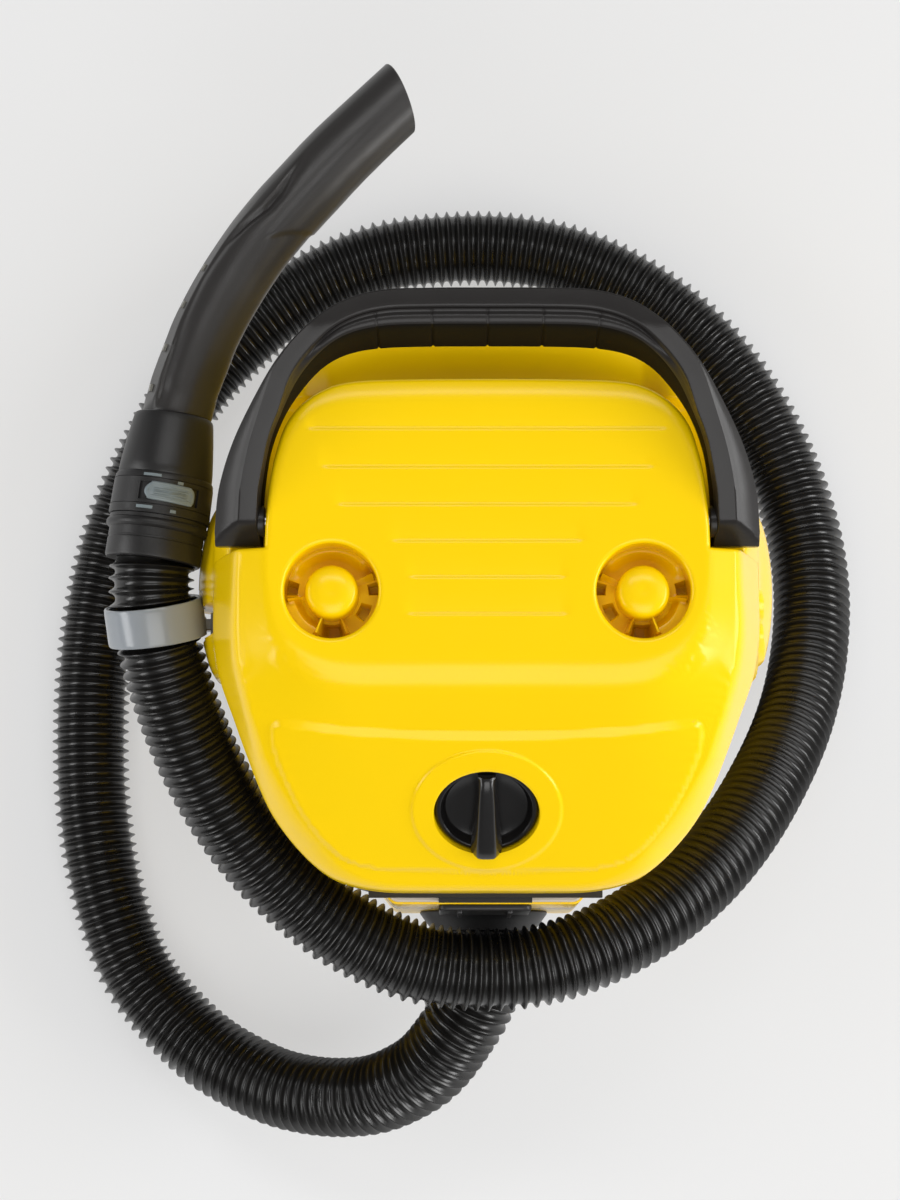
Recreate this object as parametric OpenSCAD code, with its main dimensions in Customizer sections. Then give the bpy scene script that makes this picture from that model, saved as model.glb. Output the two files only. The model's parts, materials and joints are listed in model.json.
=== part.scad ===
// Wet and dry vacuum cleaner: a tub on four swivel castors, a motor head with
// a folding carry handle, and a corrugated suction hose wound once round the
// body and held by a clip. Millimetres, +Z up, front towards -Y, origin on the
// floor under the middle of the body.

/* [Shells] */
// Wall thickness of the moulded shells
wall = 3; // [2.6:0.1:3.2]
// Height of the tub's rim above the floor
rim_z = 230; // [229:0.5:230]
// Slope of the front panel, from level
panel_slope = 41; // [40:0.5:42]
// Height of the shelf that the folded handle lies over
shelf_z = 336; // [334:0.5:336]

/* [Accessory posts] */
// Radius of the round recess for an accessory
recess_r = 23; // [22:0.5:23.5]
// Radius of the post in the recess
post_r = 13; // [12:0.5:13.5]

/* [Rotary switch] */
// Radius of the switch knob
knob_r = 25.6; // [24:0.2:25.8]
// Height of the knob's bar above the front panel
knob_bar_h = 8; // [5:0.5:10]

/* [Castors] */
// Radius of a castor wheel
wheel_r = 19; // [17:0.5:19.5]
// Width of a castor wheel
wheel_w = 15; // [12:0.5:16]
// Distance from the swivel axis back to the axle
castor_trail = 13; // [11:0.5:14]

/* [Hose] */
// Outer radius of the corrugated hose
hose_r = 22; // [21:0.5:22]
// Outer radius of the grip tube
grip_r = 17.5; // [17.4:0.05:17.5]
// Wall thickness of the grip tube
grip_wall = 2.5; // [2:0.1:3]
// Radius of the grip tube's bend
grip_bend_r = 180; // [176:1:184]

/* [Motor and filter] */
// Outer radius of the fan housing
fan_r = 58; // [54:0.5:58]
// Outer radius of the cartridge filter
filter_r = 58; // [54:0.5:58]
// Number of pleats in the filter
pleats = 44; // [30:1:60]
// Radius of the float ball
float_r = 25; // [22:0.5:25]

/* [Hidden] */
$fn = 48;
tub_y = 6;            // the tub's own centre, behind the origin
core_y = 8;           // motor and filter axis, behind the tub's centre
inlet_z = 128;        // axis of the hose inlet
head_z0 = 243;        // lower edge of the head cover
lip_z = 270.6;        // where the front panel starts
piv_y = 35;           // handle pivot
piv_z = 350;
lat_x = 141.5;        // latch pin
lat_z = 246;
knob_y = -104;        // knob axis meets the panel here
knob_z = lip_z + tan(panel_slope) * (knob_y + 142);
cas_x = 86;           // castor swivel axes
cas_y = 88;
post_x = 76;

// ---- outline helpers -------------------------------------------------------
// Right half of the head's outline, front to back
HALF = [[0, -142], [35, -142], [57, -141], [78, -135], [95, -121], [109, -102],
  [119, -78], [127, -56], [134, -36], [137, -16], [137, 6], [136.5, 28], [134, 47],
  [128, 68], [121, 87], [113, 104], [104, 119], [90, 132], [72, 140], [50, 144.5], [25, 146], [0, 146]];
// Right half of the raised top plate, front to back
TOPH = [[0, -142], [35, -142], [57, -141], [78, -135], [95, -121], [109, -102],
  [119, -78], [127, -56], [134, -36], [137, -16], [137, 21], [108.4, 21], [107, 45],
  [102, 71], [95, 86], [84, 96], [70, 101.5], [50, 103], [0, 103.5]];
function mirror_half(h) = concat(h, [for (i = [len(h) - 2 : -1 : 1]) [-h[i][0], h[i][1]]]);
// one round of midpoint insertion on a closed curve
function rounder(p) = let (n = len(p)) [for (i = [0 : n - 1]) for (k = [0, 1])
  k == 0 ? p[i] : (9 * (p[i] + p[(i + 1) % n]) - p[(i + n - 1) % n] - p[(i + 2) % n]) / 16];
function nrm(a, b) = let (d = b - a) [d[1], -d[0]] / norm(d);
// the closed curve p moved inwards by d
function inset(p, d) = let (n = len(p)) [for (i = [0 : n - 1])
  let (a = nrm(p[(i + n - 1) % n], p[i]), b = nrm(p[i], p[(i + 1) % n]))
  p[i] - d * (a + b) / (1 + a * b)];
OUT = rounder(mirror_half(HALF));
TOP = mirror_half(TOPH);

module at_tub() translate([0, tub_y, 0]) children();
module slab(d, z0, z1) translate([0, 0, z0]) linear_extrude(z1 - z0) polygon(inset(OUT, d));
module both_sides() { children(); mirror([1, 0, 0]) children(); }
module ring(ro, ri, h) difference() {
  cylinder(r = ro, h = h);
  translate([0, 0, -1]) cylinder(r = ri, h = h + 2);
}

// ---- tub -------------------------------------------------------------------
// Boss on the tub's front that the hose inlet sits in
module nose_plan(d) polygon([[-56 + d, -112], [-56 + d, -137], [-48 + d, -147 + d],
  [48 - d, -147 + d], [56 - d, -137], [56 - d, -112]]);

module container() color([0.94, 0.79, 0.10]) at_tub() difference() {
  union() {
    slab(24, 60, 70);
    slab(16, 66, 148);
    slab(11, 146, rim_z);
    slab(3, rim_z - 6, rim_z);
    translate([0, 0, 92]) linear_extrude(rim_z - 92) nose_plan(0);
  }
  slab(16 + wall, 68, 150);
  slab(24 + wall, 63, 80);
  slab(11 + wall, 149, rim_z + 1);
  translate([0, 0, 95]) linear_extrude(rim_z - 94) nose_plan(wall);
  translate([0, -130, inlet_z]) rotate([90, 0, 0]) cylinder(r = 30, h = 30);
  for (x = [-70, 70], y = [-60, 70]) translate([x, y, 59]) cylinder(r = 1.6, h = 3.4);
}

module rim_seal() color([0.75, 0.69, 0.60]) at_tub() difference() {
  union() {
    slab(4, rim_z, rim_z + 4);
    translate([0, 0, rim_z]) linear_extrude(4) nose_plan(1);
  }
  slab(14, rim_z - 1, rim_z + 5);
}

module inlet_port() color([0.06, 0.06, 0.06]) translate([0, tub_y - 147, inlet_z]) rotate([90, 0, 0])
  difference() {
    union() {
      cylinder(r1 = 34.5, r2 = 27.5, h = 11);
      translate([0, 0, -12]) cylinder(r = 30, h = 13);
      translate([-24, 20, 0]) cube([48, rim_z - inlet_z - 21, 3]);
    }
    translate([0, 0, -13]) cylinder(r = 22.06, h = 30);
  }

module base_ring() color([0.09, 0.09, 0.09]) at_tub() difference() {
  union() {
    difference() {
      union() { slab(12, 50, 82); slab(6, 60, 72); }
      slab(15, 49, 57);
    }
    for (x = [-cas_x, cas_x], y = [-cas_y, cas_y]) translate([x, y, 46]) cylinder(r = 13, h = 12);
    for (x = [-70, 70], y = [-60, 70]) translate([x, y, 52]) cylinder(r = 7, h = 6);
  }
  slab(16, 66, 83);
  slab(24, 60, 67);
  for (x = [-cas_x, cas_x], y = [-cas_y, cas_y]) translate([x, y, 45]) cylinder(r = 5.06, h = 14);
  for (x = [-70, 70], y = [-60, 70]) translate([x, y, 51]) cylinder(r = 1.6, h = 12);
  for (x = [-70, 70], y = [-60, 70]) translate([x, y, 51]) cylinder(r = 3.6, h = 3.5);
}

module base_screws() color([0.6, 0.6, 0.62]) at_tub()
  for (x = [-70, 70], y = [-60, 70]) translate([x, y, 0]) {
    translate([0, 0, 52]) cylinder(r = 3.5, h = 2.5);
    translate([0, 0, 54]) cylinder(r = 1.6, h = 8.3);
  }

// ---- castors ---------------------------------------------------------------
axle_z = wheel_r;
crown_z = 2 * wheel_r + 2;
module at_castor(sx, sy) translate([sx * cas_x, sy * cas_y + tub_y, 0]) children();

module castor_fork(sx, sy) color([0.07, 0.07, 0.07]) at_castor(sx, sy) difference() {
  union() {
    translate([0, 0, crown_z]) cylinder(r = 12, h = 45.6 - crown_z);
    translate([0, 0, crown_z + 1]) cylinder(r = 5, h = 58 - crown_z);
    translate([-wheel_w / 2 - 4, -4, crown_z]) cube([wheel_w + 8, castor_trail + 8, 45.6 - crown_z]);
    for (s = [-1, 1]) translate([s * (wheel_w / 2 + 2.5) - 1.5, 0, axle_z]) {
      translate([0, castor_trail, 0]) rotate([0, 90, 0]) cylinder(r = 6, h = 3);
      translate([0, castor_trail - 6, 0]) cube([3, 12, crown_z - axle_z + 1]);
    }
  }
  translate([-40, castor_trail, axle_z]) rotate([0, 90, 0]) cylinder(r = 2.5, h = 80);
}
module castor_axle(sx, sy) color([0.7, 0.7, 0.72]) at_castor(sx, sy)
  translate([-wheel_w / 2 - 4, castor_trail, axle_z]) rotate([0, 90, 0]) cylinder(r = 2.5, h = wheel_w + 8);
module castor_wheel(sx, sy) color([0.12, 0.12, 0.12]) at_castor(sx, sy)
  translate([0, castor_trail, axle_z]) rotate([0, 90, 0]) rotate_extrude() polygon([
    [2.56, -wheel_w / 2], [6, -wheel_w / 2], [7, -wheel_w / 2 + 2.5], [wheel_r - 5, -wheel_w / 2 + 2.5],
    [wheel_r - 4, -wheel_w / 2], [wheel_r - 1.5, -wheel_w / 2], [wheel_r, -wheel_w / 2 + 2],
    [wheel_r, wheel_w / 2 - 2], [wheel_r - 1.5, wheel_w / 2], [wheel_r - 4, wheel_w / 2],
    [wheel_r - 5, wheel_w / 2 - 2.5], [7, wheel_w / 2 - 2.5], [6, wheel_w / 2], [2.56, wheel_w / 2]]);

// ---- head ------------------------------------------------------------------
module head_base() color([0.08, 0.08, 0.08]) at_tub() difference() {
  union() {
    slab(2, rim_z + 4, head_z0);
    translate([-60, -144, rim_z + 4]) cube([120, 30, 9]);
    translate([-24, -146.5, rim_z + 4]) cube([48, 20, 6]);
    difference() {
      slab(15, rim_z - 14, rim_z + 5);
      slab(18, rim_z - 15, rim_z + 6);
    }
    translate([0, core_y, rim_z - 2]) ring(46, 42, 8);
  }
  difference() {
    slab(17, rim_z + 8, head_z0 + 1);
    for (x = [-1, 1]) { translate([x * 118, 62, rim_z]) cylinder(r = 7, h = 14); translate([x * 100, -78, rim_z]) cylinder(r = 7, h = 14); }
    for (a = [30 : 60 : 330]) translate([0, core_y, rim_z]) rotate(a) translate([68, 0, 0]) cylinder(r = 5, h = 14);
  }
  translate([0, core_y, rim_z - 3]) cylinder(r = 19, h = 20);
  for (a = [30 : 60 : 330]) translate([0, core_y, rim_z]) rotate(a) translate([68, 0, 0]) cylinder(r = 1.6, h = 20);
  for (x = [-1, 1]) {
    translate([x * 118, 62, rim_z]) { cylinder(r = 2.2, h = 20); cylinder(r = 4.4, h = 7.3); }
    translate([x * 100, -78, rim_z]) { cylinder(r = 2.2, h = 20); cylinder(r = 4.4, h = 7.3); }
  }
}

module head_screws() color([0.6, 0.6, 0.62]) at_tub() for (p = [[118, 62], [100, -78], [-118, 62], [-100, -78]])
  translate([p[0], p[1], 0]) {
    translate([0, 0, rim_z + 4.3]) cylinder(r = 4, h = 3);
    translate([0, 0, rim_z + 6.5]) cylinder(r = 1.99, h = 18.5);
  }

// Solid form of the head, d inside its outer skin
module head_form(d) difference() {
  union() {
    slab(d, d > 0 ? head_z0 - 2 : head_z0, shelf_z - d);
    translate([0, 0, shelf_z - 12]) linear_extrude(50) polygon(inset(TOP, d));
  }
  translate([0, -142, lip_z]) rotate([panel_slope, 0, 0]) translate([-200, -100, -d]) cube([400, 400, 200]);
  translate([0, 0, 360]) rotate([4, 0, 0]) translate([-200, -250, -d]) cube([400, 500, 100]);
  // steep flank, then a gentle shoulder above it, on each side
  both_sides() {
    translate([136.5, -200, 302]) rotate([0, -14.6, 0]) translate([-d, 0, -150]) cube([100, 221 - d, 300]);
    translate([124, -200, 350]) rotate([0, -64.7, 0]) translate([-d, 0, -150]) cube([100, 221 - d, 300]);
  }
}

module at_knob() translate([0, knob_y, knob_z]) rotate([panel_slope, 0, 0]) children();

// Plan of the raised front panel, in the panel's own plane
PANEL_R = [[0, 50.6], [38, 51.3], [70, 53.5], [98, 58], [104, 57], [107, 52], [106, 36], [102, 21], [95, 3], [89, -9], [80, -24],
  [70, -33], [58, -37], [30, -39], [0, -39.8]];
PANEL = concat(PANEL_R, [for (i = [len(PANEL_R) - 2 : -1 : 1]) [-PANEL_R[i][0], PANEL_R[i][1]]]);

// Side lug with the clip slot, and the pocket of the latch
module lobe() translate([0, 0, 238]) linear_extrude(16) polygon(concat([[125, -35]],
  [for (a = [-90 : 10 : 90]) [134 + 13.5 * cos(a), 11 + 46 * sin(a)]], [[125, 57]]));

module head_cover() color([1.0, 0.86, 0.01]) at_tub() difference() {
  union() {
    difference() { head_form(0); head_form(wall); }
    both_sides() {
      difference() { lobe(); slab(wall, 230, 260); slab(1.8, 230, head_z0); }
      intersection() {
        head_form(0.5);
        union() {
          translate([post_x, 0, shelf_z - wall]) cylinder(r = recess_r + wall, h = 40);
          translate([118, 62, head_z0]) cylinder(r = 6, h = 120);
          translate([100, -78, head_z0]) cylinder(r = 6, h = 120);
          translate([92, piv_y, piv_z]) rotate([0, 90, 0]) cylinder(r = 8, h = 17);
        }
      }
    }
    intersection() {
      head_form(0.5);
      at_knob() translate([0, 0, -14]) cylinder(r = knob_r + 4, h = 20);
    }
    at_knob() {
      translate([0, 0, -2]) linear_extrude(3.2) polygon(PANEL);
      translate([0, 0, -2]) cylinder(r = 38.5, h = 4);
    }
    translate([75, 130, 270]) rotate([-90, 0, 0]) cylinder(r = 13, h = 13);
  }
  // accessory recesses
  both_sides() translate([post_x, 0, shelf_z]) difference() {
    cylinder(r = recess_r, h = 60);
    translate([0, 0, -1]) cylinder(r = post_r, h = 23);
    for (a = [55, 170, 250, 330]) rotate(a) translate([post_r - 2, -1.3, -1]) cube([6.2, 2.6, 15]);
  }
  // knob well
  at_knob() {
    translate([0, 0, -11]) cylinder(r = knob_r + 0.6, h = 20);
    translate([0, 0, -20]) cylinder(r = 6.5, h = 30);
  }
  // grooves across the top plate
  for (g = [[78, 92], [59, 83], [41.6, 79], [24, 49], [7, 41], [-10, 42]])
    translate([-g[1], g[0] - 0.8, 360 + tan(4) * g[0] - 0.8]) rotate([4, 0, 0]) cube([2 * g[1], 1.6, 8]);
  // exhaust window and gland hole in the back
  translate([-62, 130, 262]) cube([124, 30, 46]);
  translate([75, 120, 270]) rotate([-90, 0, 0]) cylinder(r = 8, h = 40);
  // screw pilots
  both_sides() {
    translate([118, 62, 240]) cylinder(r = 2, h = 26);
    translate([100, -78, 240]) cylinder(r = 2, h = 26);
    // handle pin
    translate([80, piv_y, piv_z]) rotate([0, 90, 0]) cylinder(r = 4, h = 40);
    // clip slot: a keyhole open at the top, with a neck out to the side
    translate([136.6, -14, 242.5]) cube([4.6, 23, 30]);
    translate([140, -9, 242.5]) cube([12, 8, 30]);
    // latch pocket, open outwards and down
    translate([137.1, 13.4, 230]) cube([20, 25.2, 22]);
    translate([lat_x, 9, lat_z]) rotate([-90, 0, 0]) cylinder(r = 2, h = 34);
  }
  // room for the clip ring over the left lug
  translate([-169, 2 - tub_y, 261.8]) rotate([-75.5, 0, 7.5]) translate([0, 0, -12]) cylinder(r = 26.4, h = 24);
}

module exhaust_grille() color([0.08, 0.08, 0.08]) at_tub() difference() {
  intersection() {
    translate([-62, 130, 262]) cube([124, 30, 46]);
    difference() { slab(-0.6, 255, 320); slab(wall, 250, 325); }
  }
  for (i = [0 : 8]) translate([-56 + i * 12.6, 120, 268]) cube([7, 40, 34]);
}

module cord_gland() color([0.06, 0.06, 0.06]) translate([75, tub_y + 128, 270]) rotate([-90, 0, 0]) difference() {
  union() {
    cylinder(r = 8, h = 16);
    translate([0, 0, 15]) cylinder(r = 10.5, h = 3);
    cylinder(r = 9.8, h = 2);
  }
  translate([0, 0, -1]) cylinder(r = 4.2, h = 22);
}

// Bail handle folded back round the raised top plate
HOUT = [[133.2, 23], [133.1, 31], [130.6, 50], [123, 71], [112, 92], [100, 110], [87, 124], [71, 135.5], [52, 141.5], [0, 141.8]];
HIN = [[111, 23], [110.8, 31], [109.4, 49], [104.2, 73], [96.8, 89], [85.5, 104], [72, 112], [52, 116.5], [0, 117.5]];
module carry_handle() color([0.25, 0.24, 0.24]) at_tub() difference() {
  intersection() {
    translate([0, 0, 300]) linear_extrude(140) polygon(concat(HOUT,
      [for (i = [len(HOUT) - 2 : -1 : 0]) [-HOUT[i][0], HOUT[i][1]]],
      [for (p = HIN) [-p[0], p[1]]],
      [for (i = [len(HIN) - 2 : -1 : 0]) HIN[i]]));
    translate([-200, 0, 0]) rotate([90, 0, 90]) linear_extrude(400) union() {
      translate([piv_y, piv_z]) circle(r = 12);
      polygon([[piv_y, piv_z - 12], [60, 345], [108, 364], [143, 374], [143, 398], [124, 398], [60, 374], [piv_y - 3, piv_z + 11.6]]);
    }
  }
  both_sides() translate([108, piv_y, piv_z]) rotate([0, 90, 0]) cylinder(r = 4.06, h = 18.2);
  // finger scallops under the grip bar
  for (x = [-39.9 : 26.6 : 39.9]) translate([x, 129, 334.4]) rotate([90 + 16, 0, 0]) cylinder(r = 36.6, h = 60, center = true);
}
module handle_pins() color([0.72, 0.72, 0.74]) at_tub() both_sides()
  translate([94, piv_y, piv_z]) rotate([0, 90, 0]) cylinder(r = 4, h = 32);

// Over-centre latch under each side lug
module latch_right() color([0.07, 0.07, 0.07]) translate([0, tub_y + 14, 0]) difference() {
  union() {
    translate([lat_x, 0, lat_z]) rotate([-90, 0, 0]) cylinder(r = 3.9, h = 24);
    translate([139.2, 0, 212]) cube([5, 24, lat_z - 213]);
    translate([0, 24, 0]) rotate([90, 0, 0]) linear_extrude(24) polygon([[139.2, 216], [144.2, 216], [144.4, 212], [147.4, 202], [145, 200.8], [139.2, 210]]);
    translate([0, 24, 0]) rotate([90, 0, 0]) linear_extrude(24) polygon([[131.2, 219.6], [140, 217.5], [140, 222.8], [131.2, 222.8]]);
  }
  translate([lat_x, -1, lat_z]) rotate([-90, 0, 0]) cylinder(r = 2.06, h = 26);
}
module latch_left() mirror([1, 0, 0]) latch_right();
module latch_pins() color([0.72, 0.72, 0.74]) at_tub() both_sides()
  translate([lat_x, 9, lat_z]) rotate([-90, 0, 0]) cylinder(r = 2, h = 34);

// ---- switch and leads ------------------------------------------------------
module switch_knob() color([0.06, 0.06, 0.06]) at_tub() at_knob() {
  difference() {
    translate([0, 0, -10.4]) cylinder(r = knob_r, h = 9.4);
    translate([0, 0, -5.4]) cylinder(r1 = 21, r2 = 22.5, h = 6);
  }
  translate([0, 0, -6]) linear_extrude(6 + knob_bar_h) polygon([[-5, 22], [5, 22], [6.2, 8], [7.4, -10], [8.2, -23], [6.6, -25.2],
    [-6.6, -25.2], [-8.2, -23], [-7.4, -10], [-6.2, 8]]);
  translate([0, 0, -26]) cylinder(r = 5, h = 17);
}
module switch_body() color([0.85, 0.84, 0.80]) at_tub() at_knob() difference() {
  union() {
    translate([0, 0, -17]) cylinder(r = 12, h = 3);
    translate([-19, -17, -38]) cube([38, 34, 22]);
    for (x = [-12, 0, 12]) translate([x - 2, -3, -44]) cube([4, 6, 7]);
  }
  translate([0, 0, -27]) cylinder(r = 5.06, h = 20);
}
module terminal_block() color([0.90, 0.89, 0.84]) translate([62, tub_y + 92, rim_z + 8]) difference() {
  cube([30, 14, 14]);
  for (x = [6, 15, 24]) translate([x, 7, 6]) cylinder(r = 2.2, h = 10);
}
module capacitor() color([0.80, 0.72, 0.25]) translate([-92, tub_y + 84, rim_z + 8]) difference() {
  cube([22, 16, 26]);
  translate([-1, 3, 24]) cube([24, 10, 3]);
}

// ---- motor -----------------------------------------------------------------
module at_core() translate([0, tub_y + core_y, 0]) children();
mz = rim_z + 13;      // underside of the fan housing

module motor_seal() color([0.15, 0.15, 0.16]) at_core() translate([0, 0, mz - 5]) ring(fan_r - 2, 34, 5);
module fan_housing() color([0.74, 0.75, 0.77]) at_core() difference() {
  translate([0, 0, mz]) cylinder(r = fan_r, h = 40);
  translate([0, 0, mz + 1.5]) cylinder(r = fan_r - 1.5, h = 35);
  translate([0, 0, mz - 1]) cylinder(r = 19, h = 5);
  translate([0, 0, mz + 20]) cylinder(r = 9, h = 30);
  for (a = [0 : 45 : 315]) rotate(a) translate([30, -7, mz + 34]) cube([18, 14, 10]);
}
module motor_hood() color([0.10, 0.10, 0.11]) at_core() difference() {
  union() {
    translate([0, 0, mz]) ring(63, 59.2, 43.5);
    translate([0, 0, mz + 40]) ring(63, 51, 3.5);
    for (a = [30 : 60 : 330]) rotate(a) {
      translate([68, 0, mz]) cylinder(r = 5, h = 8);
      translate([60, -5, mz]) cube([8, 10, 8]);
    }
  }
  for (a = [30 : 60 : 330]) rotate(a) translate([68, 0, mz - 1]) cylinder(r = 2, h = 12);
}
module hood_screws() color([0.6, 0.6, 0.62]) at_core() for (a = [30 : 60 : 330]) rotate(a) translate([68, 0, 0]) {
  translate([0, 0, mz + 8]) cylinder(r = 3.5, h = 2.5);
  translate([0, 0, mz - 8]) cylinder(r = 1.6, h = 17);
}
module impeller() color([0.80, 0.81, 0.83]) at_core() difference() {
  union() {
    translate([0, 0, mz + 22]) cylinder(r = fan_r - 6, h = 1.5);
    translate([0, 0, mz + 6]) ring(fan_r - 6, 18, 1.5);
    translate([0, 0, mz + 9]) cylinder(r = 9, h = 14);
    for (a = [0 : 40 : 320]) rotate(a) translate([17, 0, mz + 7]) rotate(24) cube([34, 1.5, 15.5]);
  }
  translate([0, 0, mz]) cylinder(r = 4, h = 40);
}
module motor_frame() color([0.16, 0.16, 0.17]) at_core() difference() {
  union() {
    translate([0, 0, mz + 40]) ring(50, 30, 3);
    for (x = [-46, 40]) translate([x, -9, mz + 40]) cube([6, 18, 57]);
    translate([-46, -7, mz + 95]) cube([92, 14, 6]);
    translate([0, 0, mz + 93]) cylinder(r = 13, h = 8);
  }
  translate([0, 0, mz + 90]) cylinder(r = 9, h = 8);
  translate([0, 0, mz + 90]) cylinder(r = 6, h = 20);
}
module stator() color([0.55, 0.56, 0.58]) at_core() {
  translate([0, 0, mz + 49]) ring(40, 27, 30);
  color([0.72, 0.40, 0.20]) for (c = [[43.2, 6.8], [78, 4.2]]) translate([0, 0, mz + c[0]]) ring(38, 29, c[1]);
}
module armature() color([0.50, 0.51, 0.53]) at_core() {
  translate([0, 0, mz + 4]) cylinder(r = 4, h = 93);
  translate([0, 0, mz + 49]) difference() {
    cylinder(r = 26, h = 30);
    for (a = [0 : 30 : 330]) rotate(a) translate([22, -1.2, -1]) cube([6, 2.4, 32]);
  }
  translate([0, 0, mz + 44]) cylinder(r = 21, h = 38);
  translate([0, 0, mz + 82]) cylinder(r = 11, h = 8);
}
module lower_bearing() color([0.75, 0.76, 0.78]) at_core() translate([0, 0, mz + 34]) ring(9, 4.04, 6);
module upper_bearing() color([0.75, 0.76, 0.78]) at_core() translate([0, 0, mz + 91.5]) ring(9, 4.04, 5.5);
module brush_holders() color([0.70, 0.58, 0.25]) at_core() for (a = [0, 180]) rotate(a)
  difference() {
    translate([11.4, -5, mz + 82.5]) cube([28.6, 10, 7]);
    translate([20, -3, mz + 84]) cube([21, 6, 4]);
  }

// ---- filter ----------------------------------------------------------------
fz = rim_z - 94;      // lower end of the pleats
module filter_cage() color([0.10, 0.10, 0.10]) at_core() difference() {
  union() {
    translate([0, 0, fz + 4]) cylinder(r = 30, h = 92);
    translate([0, 0, rim_z + 1]) cylinder(r = 41.5, h = 3);
    translate([0, 0, fz - 8]) cylinder(r = 8, h = 14);
  }
  translate([0, 0, fz + 7]) cylinder(r = 27.5, h = 120);
  for (a = [0 : 60 : 300]) rotate(a) translate([20, -7, fz + 30]) cube([20, 14, 50]);
}
module float_ball() color([0.93, 0.93, 0.90]) at_core() translate([0, 0, fz + 7.3 + float_r]) sphere(r = float_r);
module filter_gasket() color([0.15, 0.15, 0.16]) at_core() translate([0, 0, rim_z - 4]) ring(filter_r + 1, 35, 2);
module cartridge_filter() color([0.93, 0.91, 0.84]) at_core() difference() {
  translate([0, 0, fz]) linear_extrude(rim_z - 4 - fz) polygon([for (i = [0 : 2 * pleats - 1])
    let (a = i * 180 / pleats, r = i % 2 == 0 ? filter_r : filter_r - 11) r * [cos(a), sin(a)]]);
  translate([0, 0, fz - 1]) cylinder(r = 36, h = 120);
}
module filter_cap() color([0.10, 0.10, 0.10]) at_core() difference() {
  union() {
    translate([0, 0, fz - 10]) cylinder(r = filter_r + 1, h = 9.6);
    translate([-30, -5, fz - 22]) cube([60, 10, 13]);
  }
  translate([0, 0, fz - 8.2]) cylinder(r = 8.06, h = 20);
  translate([0, 0, fz - 4]) cylinder(r = 35, h = 10);
}

// ---- hose ------------------------------------------------------------------
// Centre line of the hose, from the inlet cuff round to the end cuff
ROUTE = [[0, -166, 128], [0, -174, 127.5], [-1, -181, 126.5], [-4, -188, 124.5], [-8, -196, 121], [-14, -205, 116.5],
  [-21, -215, 110], [-31, -226, 101.5], [-44, -234, 92.5], [-59, -240, 82], [-77, -242, 71.5], [-95, -241, 60.5],
  [-114, -237, 50], [-131, -230, 41], [-148, -221, 34], [-163, -210, 28.5], [-184, -189, 24], [-201, -164, 23],
  [-215, -124, 23], [-223, -79, 23], [-225, -39, 23], [-224, 2, 23], [-219, 43, 23],
  [-209, 84, 23], [-192, 124, 23], [-170, 163, 23], [-141, 195, 23], [-106, 223, 23], [-65, 242, 23],
  [-24, 249, 23], [17, 249, 23], [58, 240, 23], [97, 220, 23], [133, 189, 23], [161, 149, 23], [180, 104, 26],
  [189, 58, 35], [187, 14, 51], [177, -27, 74], [160, -64, 100], [137, -100, 126], [108, -131, 149],
  [73, -155, 167], [35, -170, 177], [-2, -174, 181], [-39, -169, 186], [-75, -152, 194], [-106, -127, 205],
  [-129, -100, 218], [-147, -69, 233], [-159, -39, 247], [-166, -15, 257], [-169, 2, 261.8], [-171, 17, 265], [-170.6, 32, 266]];
function cr(a, b, c, d, t) = 0.5 * (2 * b + (c - a) * t + (2 * a - 5 * b + 4 * c - d) * t * t + (3 * b - a - 3 * c + d) * t * t * t);
function spline(p) = let (n = len(p)) concat([for (i = [0 : n - 2]) for (t = i < 17 || i > n - 5 ? [0] : [0, 0.5])
  cr(p[max(i - 1, 0)], p[i], p[i + 1], p[min(i + 2, n - 1)], t)], [p[n - 1]]);
HOSE = spline(ROUTE);
function unit(v) = v / norm(v);
function tangent(p, i) = i == 0 ? [0, -1, 0] : i == len(p) - 1 ? [sin(8), cos(8), 0] : unit(p[i + 1] - p[i - 1]);
hose_sides = 12;
module tube_along(p, r) {
  n = len(p);
  pts = [for (i = [0 : n - 1]) let (t = tangent(p, i), u = unit(cross([0, 0, 1], t)), v = cross(t, u))
    for (k = [0 : hose_sides - 1]) p[i] + r * (cos(k * 360 / hose_sides) * u + sin(k * 360 / hose_sides) * v)];
  s = hose_sides;
  polyhedron(pts, concat(
    [[for (k = [0 : s - 1]) k]],
    [for (i = [0 : n - 2]) for (k = [0 : s - 1]) for (h = [0, 1]) h == 0
      ? [i * s + k, (i + 1) * s + k, i * s + (k + 1) % s]
      : [i * s + (k + 1) % s, (i + 1) * s + k, (i + 1) * s + (k + 1) % s]],
    [[for (k = [s - 1 : -1 : 0]) (n - 1) * s + k]]));
}
module hose() color([0.05, 0.05, 0.05]) tube_along(HOSE, hose_r);

module hose_inlet_cuff() color([0.05, 0.05, 0.05]) translate([0, tub_y - 158, inlet_z]) rotate([90, 0, 0]) difference() {
  union() {
    cylinder(r = 24, h = 14);
    translate([0, 0, -16]) cylinder(r = 22, h = 17);
    translate([0, 0, 5]) cylinder(r = 25, h = 6);
  }
  translate([0, 0, -17]) cylinder(r = 17.5, h = 50);
}

// Open-ended clip ring with a T that drops into the slot of the side lug
module hose_clip() color([0.58, 0.60, 0.62]) difference() {
  union() {
    translate([-169, 2, 261.8]) rotate([-75.5, 0, 7.5]) translate([0, 0, -10]) cylinder(r = 25.4, h = 20);
    translate([-148, tub_y - 8, 247]) cube([7.6, 6, 12]);
    translate([-140.9, tub_y - 11, 244]) cube([3.8, 12, 16]);
  }
  translate([-169, 2, 261.8]) rotate([-75.5, 0, 7.5]) translate([0, 0, -30]) cylinder(r = 23, h = 60);
}

// Grip assembly: everything lies on one axis, 8 degrees off the +Y direction
module at_grip(s) translate([-170.6, 32, 266]) rotate([-90, 0, -8]) translate([0, 0, s]) children();

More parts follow.
